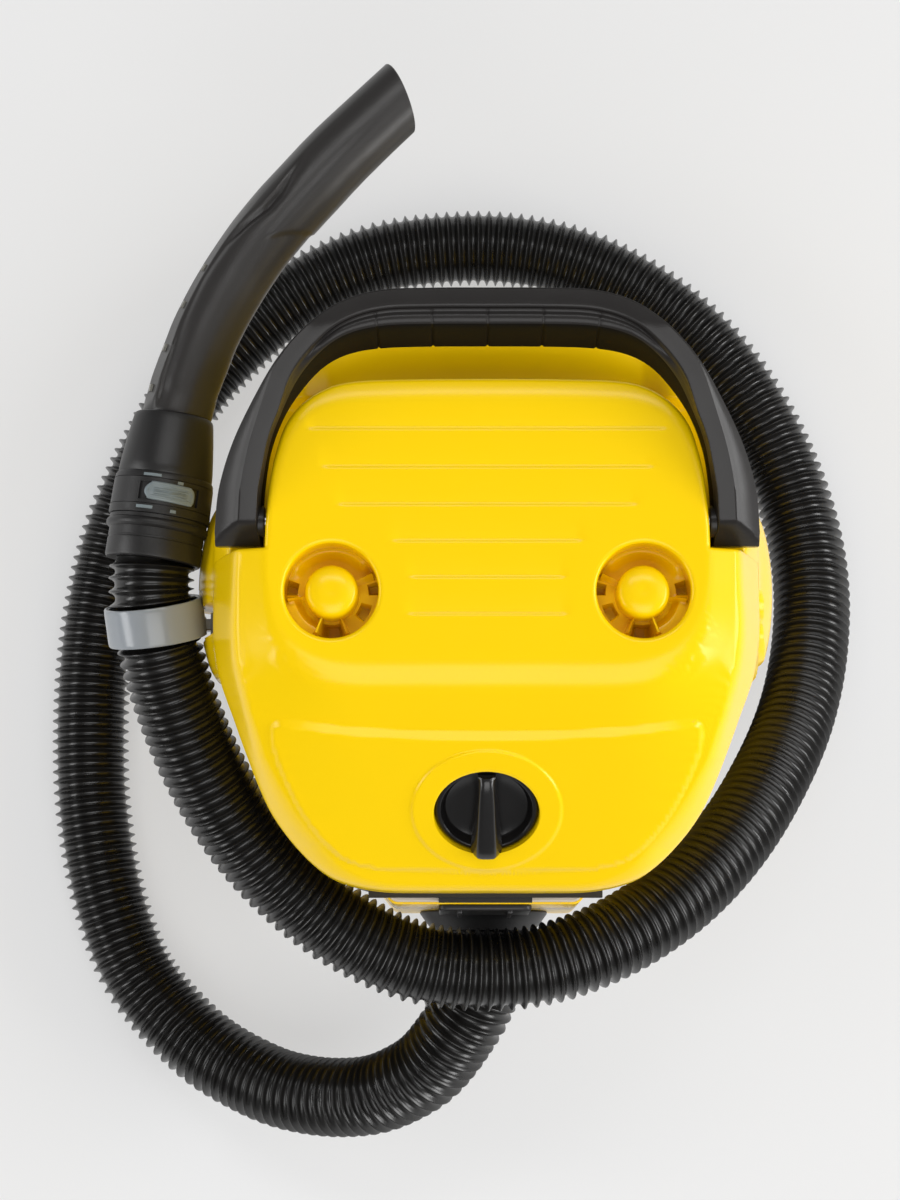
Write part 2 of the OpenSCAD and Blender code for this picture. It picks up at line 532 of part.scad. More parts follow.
module hose_end_cuff() color([0.06, 0.06, 0.06]) at_grip(0) difference() {
  union() {
    cylinder(r = 24.4, h = 22);
    translate([0, 0, 16]) cylinder(r = 26.3, h = 4);
    translate([0, 0, 21]) cylinder(r = 19.5, h = 15);
  }
  translate([0, 0, -1]) cylinder(r = 16.5, h = 50);
}
module regulator_collar() color([0.10, 0.10, 0.10]) at_grip(22) difference() {
  rotate_extrude($fn = 96) polygon([[17.56, 14], [19.5, 14], [19.5, 0], [25.9, 0], [25.9, 4.7], [24.6, 4.7], [24.6, 18.3],
    [25.4, 18.3], [25.1, 21], [23.9, 22], [23.9, 27], [22.4, 42], [21.3, 52], [20.2, 54], [17.56, 54]]);
  // bleed window under the slider
  rotate(14) translate([-9, -30, 8]) cube([18, 16, 7]);
}
module air_slider() color([0.52, 0.55, 0.57]) at_grip(22 + 5.1) intersection() {
  union() {
    ring(27.2, 24.9, 12.8);
    rotate(14) translate([-4, -28.7, 3]) cube([8, 3.5, 7]);
  }
  rotate(-76) linear_extrude(20) polygon([[0, 0], [60, -36], [60, 36]]);
}
function grip_dir(a) = [sin(a), cos(a), 0];
T0 = [-170.6, 32, 266] + 76 * grip_dir(8);
TC = T0 + grip_bend_r * [cos(8), -sin(8), 0];
T2 = TC + grip_bend_r * [-cos(44), sin(44), 0];
module grip_tube() color([0.27, 0.26, 0.27]) {
  at_grip(58) ring(grip_r, grip_r - grip_wall - 0.1, 18.5);
  translate(TC) rotate(136) rotate_extrude(angle = 36) translate([grip_bend_r, 0]) difference() {
    circle(r = grip_r + 2);
    circle(r = grip_r - grip_wall);
  }
  translate(T2) rotate([-90, 0, -44]) difference() {
    translate([0, 0, -0.5]) ring(grip_r, grip_r - grip_wall - 0.1, 104);
    translate([0, 0, 92]) rotate([-10, 16, 0]) translate([-60, -60, 0]) cube([120, 120, 60]);
  }
}

container();
base_ring();
base_screws();
inlet_port();
rim_seal();
castor_fork(-1, -1);  // castor_fork_fl
castor_fork(1, -1);  // castor_fork_fr
castor_fork(-1, 1);  // castor_fork_rl
castor_fork(1, 1);  // castor_fork_rr
castor_axle(-1, -1);  // castor_axle_fl
castor_axle(1, -1);  // castor_axle_fr
castor_axle(-1, 1);  // castor_axle_rl
castor_axle(1, 1);  // castor_axle_rr
castor_wheel(-1, -1);  // castor_wheel_fl
castor_wheel(1, -1);  // castor_wheel_fr
castor_wheel(-1, 1);  // castor_wheel_rl
castor_wheel(1, 1);  // castor_wheel_rr
head_base();
head_cover();
head_screws();
exhaust_grille();
cord_gland();
carry_handle();
handle_pins();
latch_left();
latch_right();
latch_pins();
switch_knob();
switch_body();
terminal_block();
capacitor();
motor_seal();
motor_hood();
hood_screws();
fan_housing();
impeller();
motor_frame();
stator();
armature();
lower_bearing();
upper_bearing();
brush_holders();
filter_cage();
float_ball();
filter_gasket();
cartridge_filter();
filter_cap();
hose();
hose_inlet_cuff();
hose_clip();
hose_end_cuff();
regulator_collar();
air_slider();
grip_tube();
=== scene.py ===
import json
import math

import bmesh
import bpy
import numpy as np
from mathutils import Matrix, Vector
from mathutils.geometry import delaunay_2d_cdt


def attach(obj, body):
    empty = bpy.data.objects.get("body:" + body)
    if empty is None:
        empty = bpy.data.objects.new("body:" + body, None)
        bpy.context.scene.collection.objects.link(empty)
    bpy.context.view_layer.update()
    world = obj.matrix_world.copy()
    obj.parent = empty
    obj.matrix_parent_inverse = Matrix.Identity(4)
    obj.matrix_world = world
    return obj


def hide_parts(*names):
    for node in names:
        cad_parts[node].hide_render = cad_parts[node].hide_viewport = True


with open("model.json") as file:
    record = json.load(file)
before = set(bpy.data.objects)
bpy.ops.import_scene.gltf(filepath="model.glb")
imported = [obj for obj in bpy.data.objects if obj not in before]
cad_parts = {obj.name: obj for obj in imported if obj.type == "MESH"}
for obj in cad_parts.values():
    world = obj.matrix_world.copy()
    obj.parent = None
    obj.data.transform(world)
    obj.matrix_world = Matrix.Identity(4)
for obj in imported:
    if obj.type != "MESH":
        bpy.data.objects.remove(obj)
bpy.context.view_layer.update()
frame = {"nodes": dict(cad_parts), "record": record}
NODES = frame["nodes"]
MM = 0.001
TUB = np.array([0.0, 6.0, 0.0])  # the tub's own centre, in mm
DONE = []

# ---------------------------------------------------------------- camera, light
scene = bpy.context.scene
scene.view_settings.view_transform = "Standard"
scene.view_settings.look = "None"
scene.view_settings.exposure = 0.0
scene.view_settings.gamma = 1.0

ELEV = math.radians(83.0)
AIM = Vector((-18.2, 14.0, 255.0)) * MM
DIST = 1.880
cam_data = bpy.data.cameras.new("camera")
cam_data.sensor_width = 36.0
cam_data.lens = 3655.0 / 1200.0 * 36.0
cam_data.clip_start = 0.05
cam_data.clip_end = 60.0
camera = bpy.data.objects.new("camera", cam_data)
scene.collection.objects.link(camera)
camera.location = AIM + DIST * Vector((0.0, -math.cos(ELEV), math.sin(ELEV)))
camera.rotation_euler = (AIM - camera.location).to_track_quat("-Z", "Y").to_euler()
scene.camera = camera

# Centre line of the hose, from the inlet cuff round to the end cuff, in metres
ROUTE = [(0, -.166, .128), (0, -.174, .1275), (-.001, -.181, .1265), (-.004, -.188, .1245), (-.008, -.196, .121), (-.014, -.205, .1165),
    (-.021, -.215, .110), (-.031, -.226, .1015), (-.044, -.234, .0925), (-.059, -.240, .082), (-.077, -.242, .0715), (-.095, -.241, .0605),
    (-.114, -.237, .050), (-.131, -.230, .041), (-.148, -.221, .034), (-.163, -.210, .0285), (-.184, -.189, .024), (-.201, -.164, .023),
    (-.215, -.124, .023), (-.223, -.079, .023), (-.225, -.039, .023), (-.224, .002, .023), (-.219, .043, .023),
    (-.209, .084, .023), (-.192, .124, .023), (-.170, .163, .023), (-.141, .195, .023), (-.106, .223, .023), (-.065, .242, .023),
    (-.024, .249, .023), (.017, .249, .023), (.058, .240, .023), (.097, .220, .023), (.133, .189, .023), (.161, .149, .023), (.180, .104, .026),
    (.189, .058, .035), (.187, .014, .051), (.177, -.027, .074), (.160, -.064, .100), (.137, -.100, .126), (.108, -.131, .149),
    (.073, -.155, .167), (.035, -.170, .177), (-.002, -.174, .181), (-.039, -.169, .186), (-.075, -.152, .194), (-.106, -.127, .205),
    (-.129, -.100, .218), (-.147, -.069, .233), (-.159, -.039, .247), (-.166, -.015, .257), (-.169, .002, .2618), (-.171, .017, .265), (-.1706, .032, .266)]


# ---------------------------------------------------------------- mesh helpers
def unit(v):
    v = np.asarray(v, float)
    n = np.linalg.norm(v, axis=-1, keepdims=True)
    return v / np.where(n < 1e-12, 1, n)


def smooth01(t):
    t = np.clip(t, 0, 1)
    return t * t * (3 - 2 * t)


def link(name, me, material):
    o = bpy.data.objects.new(name, me)
    scene.collection.objects.link(o)
    if material is not None:
        me.materials.append(material)
    return o


def build(name, V, F, material, sharp=35.0, smooth=True):
    """A mesh object from points in mm and faces. Edges sharper than the angle stay crisp."""
    me = bpy.data.meshes.new(name)
    me.from_pydata((np.asarray(V, float) * MM).tolist(), [], [tuple(int(i) for i in f) for f in F])
    me.validate()
    bm = bmesh.new()
    bm.from_mesh(me)
    bmesh.ops.remove_doubles(bm, verts=bm.verts, dist=2e-6)
    bmesh.ops.dissolve_degenerate(bm, edges=bm.edges, dist=1e-6)
    bmesh.ops.recalc_face_normals(bm, faces=bm.faces)
    bm.to_mesh(me)
    bm.free()
    if smooth:
        me.shade_smooth()
        me.set_sharp_from_angle(angle=math.radians(sharp))
    return link(name, me, material)


def grid_faces(m, n, base=0, closed=True, wrap=False):
    """Faces between m rings of n points."""
    F = []
    for i in range(m if wrap else m - 1):
        for k in range(n if closed else n - 1):
            a, b = base + i * n + k, base + i * n + (k + 1) % n
            c, d = base + ((i + 1) % m) * n + (k + 1) % n, base + ((i + 1) % m) * n + k
            F.append((a, b, c, d))
    return F


def loft(name, rings, material, caps=(True, True), sharp=35.0, wrap=False):
    rings = [np.asarray(r, float) for r in rings]
    n = len(rings[0])
    V = np.concatenate(rings)
    F = grid_faces(len(rings), n, wrap=wrap)
    if not wrap and caps[0]:
        F.append(tuple(range(n - 1, -1, -1)))
    if not wrap and caps[1]:
        F.append(tuple(range((len(rings) - 1) * n, len(rings) * n)))
    return build(name, V, F, material, sharp)


def join(name, parts):
    """Several freshly built objects as one piece."""
    parts = [p for p in parts if p is not None]
    mats, verts, faces, fm, sm = [], [], [], [], []
    bm = bmesh.new()
    for p in parts:
        off = len(mats)
        for m in p.data.materials:
            mats.append(m)
        tmp = bmesh.new()
        tmp.from_mesh(p.data)
        tmp.transform(p.matrix_world)
        for f in tmp.faces:
            f.material_index += off
        me = bpy.data.meshes.new("tmp")
        tmp.to_mesh(me)
        tmp.free()
        bm.from_mesh(me)
        bpy.data.meshes.remove(me)
    uniq = []
    remap = {}
    for i, m in enumerate(mats):
        if m not in uniq:
            uniq.append(m)
        remap[i] = uniq.index(m)
    for f in bm.faces:
        f.material_index = remap.get(f.material_index, 0)
    me = bpy.data.meshes.new(name)
    bm.to_mesh(me)
    bm.free()
    for m in uniq:
        me.materials.append(m)
    for p in parts:
        old = p.data
        bpy.data.objects.remove(p)
        if old.users == 0:
            bpy.data.meshes.remove(old)
    o = bpy.data.objects.new(name, me)
    scene.collection.objects.link(o)
    return o


def basis(z, x=(1, 0, 0)):
    """Columns x, y, z of a right-handed frame with that z."""
    z = unit(np.array(z, float))
    x = np.array(x, float)
    x = x - z * (x @ z)
    if np.linalg.norm(x) < 1e-6:
        x = np.array([0, 1.0, 0]) - z * z[1]
    x = unit(x)
    return np.stack([x, np.cross(z, x), z], 1)


def revolve(name, profile, material, origin=(0, 0, 0), axis=(0, 0, 1), n=64, sharp=32.0, close=False, xdir=(1, 0, 0)):
    """Turned form: profile of (radius, height) pairs about an axis. close joins the last pair to the first."""
    B = basis(axis, xdir)
    a = np.arange(n) * 2 * math.pi / n
    rings = []
    for r, z in profile:
        local = np.stack([r * np.cos(a), r * np.sin(a), np.full(n, z)], 1)
        rings.append(local @ B.T + np.array(origin, float))
    V = np.concatenate(rings)
    F = grid_faces(len(rings), n, wrap=close)
    if not close:
        if profile[0][0] > 1e-6:
            F.append(tuple(range(n - 1, -1, -1)))
        if profile[-1][0] > 1e-6:
            F.append(tuple(range((len(rings) - 1) * n, len(rings) * n)))
    return build(name, V, F, material, sharp)


def prism(name, plan, z0, z1, material, bevel=0.6, segs=2, frame_m=None, sharp=30.0):
    """Extruded outline with rounded edges. frame_m maps its local mm to the row frame."""
    plan = np.asarray(plan, float)
    n = len(plan)
    V = np.concatenate([np.c_[plan, np.full(n, z0)], np.c_[plan, np.full(n, z1)]])
    F = [tuple(range(n - 1, -1, -1)), tuple(range(n, 2 * n))] + [(k, (k + 1) % n, n + (k + 1) % n, n + k) for k in range(n)]
    bm = bmesh.new()
    vs = [bm.verts.new(tuple(v)) for v in V]
    for f in F:
        bm.faces.new([vs[i] for i in f])
    bmesh.ops.recalc_face_normals(bm, faces=bm.faces)
    if bevel > 0:
        edges = [e for e in bm.edges if e.calc_face_angle(0) > math.radians(28)]
        bmesh.ops.bevel(bm, geom=edges, offset=bevel, offset_type="OFFSET", segments=segs, profile=0.5, affect="EDGES", clamp_overlap=True)
    if frame_m is not None:
        bm.transform(Matrix([list(r) for r in frame_m]))
    bmesh.ops.scale(bm, vec=(MM, MM, MM), verts=bm.verts)
    me = bpy.data.meshes.new(name)
    bm.to_mesh(me)
    bm.free()
    me.shade_smooth()
    me.set_sharp_from_angle(angle=math.radians(sharp))
    return link(name, me, material)


def slab4(x0, x1, y0, y1):
    return [(x0, y0), (x1, y0), (x1, y1), (x0, y1)]


def mat4(B=None, t=(0, 0, 0)):
    M = np.eye(4)
    if B is not None:
        M[:3, :3] = B
    M[:3, 3] = t
    return M


def cr_path(P, step):
    """Dense smooth line through the points, one point every step."""
    P = np.asarray(P, float)
    n = len(P)
    out = []
    for i in range(n - 1):
        a, b, c, d = P[max(i - 1, 0)], P[i], P[i + 1], P[min(i + 2, n - 1)]
        for t in np.linspace(0, 1, 24, endpoint=False):
            out.append(0.5 * (2 * b + (c - a) * t + (2 * a - 5 * b + 4 * c - d) * t * t + (3 * b - a - 3 * c + d) * t ** 3))
    out.append(P[-1])
    out = np.array(out)
    for _ in range(40):  # takes the small kinks out, ends kept
        out[1:-1] = 0.25 * out[:-2] + 0.5 * out[1:-1] + 0.25 * out[2:]
    s = np.concatenate([[0], np.cumsum(np.linalg.norm(np.diff(out, axis=0), axis=1))])
    m = max(2, int(round(s[-1] / step)))
    q = np.linspace(0, s[-1], m + 1)
    return np.stack([np.interp(q, s, out[:, k]) for k in range(3)], 1), s[-1]


def frames_along(P, up=(0, 0, 1), t0=None, t1=None):
    """Tangents and two cross directions along a line, without twist."""
    T = np.zeros_like(P)
    T[1:-1] = unit(P[2:] - P[:-2])
    T[0] = unit(P[1] - P[0]) if t0 is None else unit(t0)
    T[-1] = unit(P[-1] - P[-2]) if t1 is None else unit(t1)
    U = np.zeros_like(P)
    u = np.array(up, float)
    u = unit(u - T[0] * (u @ T[0]))
    for i in range(len(P)):
        u = unit(u - T[i] * (u @ T[i]))
        U[i] = u
    return T, U, np.cross(T, U)


def finish_piece(o, body, replaces=()):
    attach(o, body)
    if replaces:
        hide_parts(*replaces)
    DONE.append(o.name)
    return o


# ---------------------------------------------------------------- materials
def node_mat(name):
    m = bpy.data.materials.new(name)
    m.use_nodes = True
    nt = m.node_tree
    bsdf = nt.nodes["Principled BSDF"]
    return m, nt, bsdf


def srgb(r, g, b):
    def f(c):
        c /= 255.0
        return c / 12.92 if c <= 0.04045 else ((c + 0.055) / 1.055) ** 2.4
    return (f(r), f(g), f(b), 1.0)


def plastic(name, colour, vary=0.06, rough=0.35, rough_vary=0.06, grain=0.0, grain_scale=900.0, coat=0.0, ior=1.5, scale=9.0, sss=0.0, wear=0.0, wear_colour=None, metallic=0.0, spec=0.5, coat_rough=0.08, edge_dist=0.0015):
    """Moulded surface: slow colour drift, uneven gloss, and a fine grain in the bump."""
    m, nt, b = node_mat(name)
    N, L = nt.nodes, nt.links
    tc = N.new("ShaderNodeTexCoord")
    n1 = N.new("ShaderNodeTexNoise")
    n1.inputs["Scale"].default_value = scale
    n1.inputs["Detail"].default_value = 3.0
    L.new(tc.outputs["Object"], n1.inputs["Vector"])
    ramp = N.new("ShaderNodeValToRGB")
    c = np.array(colour[:3])
    ramp.color_ramp.elements[0].position = 0.3
    ramp.color_ramp.elements[1].position = 0.7
    ramp.color_ramp.elements[0].color = tuple(np.clip(c * (1 - vary), 0, 1)) + (1.0,)
    ramp.color_ramp.elements[1].color = tuple(np.clip(c * (1 + vary), 0, 1)) + (1.0,)
    L.new(n1.outputs["Fac"], ramp.inputs["Fac"])
    col = ramp.outputs["Color"]
    if wear > 0:
        geo = N.new("ShaderNodeNewGeometry")
        mr = N.new("ShaderNodeMapRange")
        mr.inputs["From Min"].default_value = 0.52
        mr.inputs["From Max"].default_value = 0.62
        L.new(geo.outputs["Pointiness"], mr.inputs["Value"])
        n3 = N.new("ShaderNodeTexNoise")
        n3.inputs["Scale"].default_value = 60.0
        L.new(tc.outputs["Object"], n3.inputs["Vector"])
        mu = N.new("ShaderNodeMath")
        mu.operation = "MULTIPLY"
        L.new(mr.outputs["Result"], mu.inputs[0])
        L.new(n3.outputs["Fac"], mu.inputs[1])
        mu2 = N.new("ShaderNodeMath")
        mu2.operation = "MULTIPLY"
        mu2.inputs[1].default_value = wear
        L.new(mu.outputs[0], mu2.inputs[0])
        mx = N.new("ShaderNodeMix")
        mx.data_type = "RGBA"
        wc = wear_colour or tuple(np.clip(c * 1.8 + 0.02, 0, 1)) + (1.0,)
        mx.inputs[7].default_value = wc
        L.new(mu2.outputs[0], mx.inputs[0])
        L.new(col, mx.inputs[6])
        col = mx.outputs[2]
    L.new(col, b.inputs["Base Color"])
    n2 = N.new("ShaderNodeTexNoise")
    n2.inputs["Scale"].default_value = 45.0
    n2.inputs["Detail"].default_value = 4.0
    L.new(tc.outputs["Object"], n2.inputs["Vector"])
    mr2 = N.new("ShaderNodeMapRange")
    mr2.inputs["To Min"].default_value = max(0.02, rough - rough_vary)
    mr2.inputs["To Max"].default_value = rough + rough_vary
    L.new(n2.outputs["Fac"], mr2.inputs["Value"])
    L.new(mr2.outputs["Result"], b.inputs["Roughness"])
    if grain > 0:
        n4 = N.new("ShaderNodeTexNoise")
        n4.inputs["Scale"].default_value = grain_scale
        n4.inputs["Detail"].default_value = 2.0
        L.new(tc.outputs["Object"], n4.inputs["Vector"])
        bu = N.new("ShaderNodeBump")
        bu.inputs["Strength"].default_value = grain
        bu.inputs["Distance"].default_value = 0.0002
        L.new(n4.outputs["Fac"], bu.inputs["Height"])
        L.new(bu.outputs["Normal"], b.inputs["Normal"])
    b.inputs["IOR"].default_value = ior
    b.inputs["Specular IOR Level"].default_value = spec
    b.inputs["Metallic"].default_value = metallic
    if coat > 0:
        b.inputs["Coat Weight"].default_value = coat
        b.inputs["Coat Roughness"].default_value = coat_rough
    if sss > 0:
        b.inputs["Subsurface Weight"].default_value = sss
        b.inputs["Subsurface Radius"].default_value = (0.004, 0.002, 0.0004)
        b.inputs["Subsurface Scale"].default_value = 1.0
    return m


YELLOW = plastic("yellow_shell", srgb(248, 206, 0), vary=0.012, rough=0.22, rough_vary=0.025, grain=0.03, grain_scale=1400, spec=0.26)
TUBYEL = plastic("yellow_tub", srgb(250, 203, 2), vary=0.02, rough=0.28, rough_vary=0.04, grain=0.05, grain_scale=1200, spec=0.4)
BLACK = plastic("black_plastic", srgb(26, 25, 25), vary=0.12, rough=0.42, grain=0.25, grain_scale=1500, wear=0.15)
HANDLE = plastic("handle_plastic", srgb(35, 33, 32), vary=0.06, rough=0.3, rough_vary=0.04, grain=0.22, grain_scale=1800, wear=0.12, spec=0.27)
# darker copy of the handle plastic for its underside and inner wall: painted shade where the handle overhangs the
# shelf, also rougher with less specular
HANDLE_UNDERSIDE_SHADE = plastic("handle_painted_underside_shade", srgb(13, 12, 12), vary=0.08, rough=0.55, rough_vary=0.05, grain=0.3, grain_scale=1500, spec=0.07)
KNOBM = plastic("knob_plastic", srgb(22, 21, 21), vary=0.08, rough=0.22, grain=0.03)
HOSEM = plastic("hose_plastic", srgb(21, 20, 19), vary=0.15, rough=0.28, rough_vary=0.05, grain=0.04, scale=30)
GRIPM = plastic("grip_plastic", srgb(46, 44, 43), vary=0.06, rough=0.36, grain=0.3, grain_scale=1700, wear=0.1)
CLIPM = plastic("clip_plastic", srgb(142, 147, 152), vary=0.04, rough=0.2, grain=0.02)
SLIDEM = plastic("slider_plastic", srgb(122, 133, 137), vary=0.05, rough=0.34, grain=0.1)
# pale seal tone: the seal's own colour, which also paints the bright highlight strip along the rim ledge under the head
SEAL_AND_RIM_HIGHLIGHT = plastic("seal_rubber", srgb(206, 194, 176), vary=0.05, rough=0.6, grain=0.2)
RUBBER = plastic("dark_rubber", srgb(30, 30, 31), vary=0.1, rough=0.7, grain=0.3, grain_scale=1200)
WHEELM = plastic("wheel_plastic", srgb(44, 44, 46), vary=0.1, rough=0.45, grain=0.2, wear=0.3)
ZINC = plastic("zinc_steel", srgb(190, 190, 194), vary=0.06, rough=0.28, rough_vary=0.1, metallic=1.0, scale=60)
WHITEM = plastic("white_plastic", srgb(226, 224, 216), vary=0.03, rough=0.4, grain=0.1)
FILM = plastic("film_plastic", srgb(214, 176, 66), vary=0.05, rough=0.2)
ALU = plastic("sheet_aluminium", srgb(205, 207, 211), vary=0.04, rough=0.25, metallic=1.0, scale=40)
LAMI = plastic("lamination_steel", srgb(140, 142, 147), vary=0.1, rough=0.38, metallic=1.0, scale=80)
BRASS = plastic("copper_brass", srgb(196, 140, 72), vary=0.08, rough=0.3, metallic=1.0, scale=60)
PAPER = plastic("filter_paper", srgb(236, 230, 212), vary=0.05, rough=0.85, grain=0.5, grain_scale=900)
SLOT_MAT = {"yellow_shell": YELLOW, "yellow_tub": TUBYEL, "black_plastic": BLACK, "handle_plastic": HANDLE, "knob_plastic": KNOBM,
    "hose_plastic": HOSEM, "grip_plastic": GRIPM, "clip_plastic": CLIPM, "slider_plastic": SLIDEM, "seal_rubber": SEAL_AND_RIM_HIGHLIGHT, "dark_rubber": RUBBER,
    "wheel_plastic": WHEELM, "zinc_steel": ZINC, "white_plastic": WHITEM, "film_plastic": FILM, "sheet_aluminium": ALU,
    "lamination_steel": LAMI, "copper_brass": BRASS, "filter_paper": PAPER}

# ---------------------------------------------------------------- hose
HOSE_R = 22.0
hose_line, hose_len = cr_path(np.array(ROUTE) * 1000, 0.8)
end_dir = np.array([math.sin(math.radians(8)), math.cos(math.radians(8)), 0])


def make_hose():
    T, U, W = frames_along(hose_line, t0=(0, -1, 0), t1=end_dir)
    s = np.concatenate([[0], np.cumsum(np.linalg.norm(np.diff(hose_line, axis=0), axis=1))])
    L = s[-1]
    ribs = int(round(L / 5.7))
    pitch = L / ribs
    # crest fins with round tops and rounded valleys between them
    prof = [(0.0, 18.7), (0.2, 19.05), (0.34, 20.4), (0.435, 21.7), (0.5, 22.0), (0.565, 21.7), (0.66, 20.4), (0.8, 19.05)]
    ang = np.arange(38) * 2 * math.pi / 38
    ca, sa = np.cos(ang), np.sin(ang)
    rings = []
    def ring(at, r):
        p = np.array([np.interp(at, s, hose_line[:, k]) for k in range(3)])
        u = unit(np.array([np.interp(at, s, U[:, k]) for k in range(3)]))
        w = unit(np.array([np.interp(at, s, W[:, k]) for k in range(3)]))
        return p + r * (ca[:, None] * u + sa[:, None] * w)
    for i in range(ribs):
        for f, r in prof:
            rings.append(ring((i + f) * pitch, r))
    rings.append(ring(L, 18.7))
    o = loft("hose_ribbed", rings, HOSEM, sharp=75)
    return o


hose = make_hose()
finish_piece(hose, "root", ["hose"])

# ---------------------------------------------------------------- outlines, in the tub's own frame, mm
HALF = [[0, -142], [35, -142], [57, -141], [78, -135], [95, -121], [109, -102], [119, -78], [127, -56], [134, -36], [137, -16], [137, 6],
    [136.5, 28], [134, 47], [128, 68], [121, 87], [113, 104], [104, 119], [90, 132], [72, 140], [50, 144.5], [25, 146], [0, 146]]
ISLAND = [[108.4, 21], [108.0, 32], [107, 45], [105, 59], [102, 71], [99, 79.5], [95, 86], [90, 91.5], [84, 96], [77.5, 99.3], [70, 101.5], [60, 102.7], [50, 103.1], [25, 103.5], [0, 103.6]]
PLATE = [[0, -33], [28, -33], [54, -33], [70, -32.4], [83, -29.3], [94, -22.5], [101.5, -12], [105, 2], [105.8, 16], [104.4, 32], [102, 47], [98.2, 62], [93.5, 73.5],
    [87, 82], [79, 87.5], [68, 90.4], [50, 91.5], [25, 92], [0, 92]]
PANEL = [[0, -65.8], [20, -65.7], [39, -65.3], [55, -64.4], [70, -63.5], [85, -61.6], [97, -60], [103, -60.2], [107, -64], [107.4, -71], [106, -78], [102.3, -88], [96, -101], [89.5, -111],
    [80, -122], [70.5, -128.6], [58, -132], [44, -133.1], [30, -133.5], [15, -133.8], [0, -134]]


def both(h):
    h = np.array(h, float)
    return np.concatenate([h, (h * [-1, 1])[-2:0:-1]])


def four_point(P, n):
    for _ in range(n):
        m = (9 * (P + np.roll(P, -1, 0)) - np.roll(P, 1, 0) - np.roll(P, -2, 0)) / 16
        P = np.stack([P, m], 1).reshape(-1, 2)
    return P


def nearest(q, poly):
    """Distance from points to a closed polygon, and the direction away from its nearest point."""
    a, b = poly, np.roll(poly, -1, 0)
    ab = b - a
    L2 = (ab ** 2).sum(1)
    dist = np.empty(len(q))
    away = np.empty((len(q), 2))
    for i in range(0, len(q), 4000):
        c = q[i:i + 4000]
        t = np.clip(((c[:, None, 0] - a[:, 0]) * ab[:, 0] + (c[:, None, 1] - a[:, 1]) * ab[:, 1]) / L2, 0, 1)
        dx = c[:, None, 0] - a[:, 0] - t * ab[:, 0]
        dy = c[:, None, 1] - a[:, 1] - t * ab[:, 1]
        d2 = dx * dx + dy * dy
        k = d2.argmin(1)
        r = np.arange(len(c))
        dist[i:i + 4000] = np.sqrt(d2[r, k])
        away[i:i + 4000, 0], away[i:i + 4000, 1] = dx[r, k], dy[r, k]
    return dist, unit(away)


def inside(q, poly):
    a, b = poly, np.roll(poly, -1, 0)
    out = np.zeros(len(q), bool)
    for i in range(0, len(q), 4000):
        c = q[i:i + 4000]
        x, y = c[:, None, 0], c[:, None, 1]
        hit = ((a[:, 1] > y) != (b[:, 1] > y)) & (x < (b[:, 0] - a[:, 0]) * (y - a[:, 1]) / np.where(b[:, 1] == a[:, 1], 1e-12, b[:, 1] - a[:, 1]) + a[:, 0])
        out[i:i + 4000] = hit.sum(1) % 2 == 1
    return out


def ring_normals(P):
    t = np.roll(P, -1, 0) - np.roll(P, 1, 0)
    return unit(np.stack([t[:, 1], -t[:, 0]], 1))


def inset_ring(P, d):
    return P - ring_normals(P) * d


OUT = four_point(both(HALF), 4)
OUT_C = four_point(both(HALF), 3)
PLATE_C = four_point(both(PLATE), 4)
PANEL_C = four_point(both(PANEL), 2)
NOTCH_Y = 21.0


def smin(a, b, k):
    h = np.maximum(k - np.abs(a - b), 0)
    return np.minimum(a, b) - h * h / (4 * k)


def ramp01(t, r=0.22):
    """0 to 1 with straight middle and eased ends."""
    t = np.clip(t, 0, 1)
    s = 1 / (1 - r)
    return np.where(t < r, s * t * t / (2 * r), np.where(t > 1 - r, 1 - s * (1 - t) ** 2 / (2 * r), s * (t - r / 2)))


SLOPE = math.radians(41)
ZW_Y = [-142, -135, -121, -102, -78, -56, 21, 44, 62, 90, 120, 146]
ZW_Z = [268.5, 270, 273, 284, 298, 300, 300, 318, 331, 333, 334, 334]
SLATS = [(-11.5, 42, 17.9), (6.4, 41, 17.6), (24.0, 49.3, 17.7), (41.7, 75.7, 18.3), (60.0, 83.5, 18.7), (78.7, 90, 12.5)]


def wall_top(y):
    return np.interp(y, ZW_Y, ZW_Z)


def edge_round(e, r):
    t = np.clip(r - e, 0, r)
    return r - np.sqrt(np.maximum(r * r - t * t, 0))


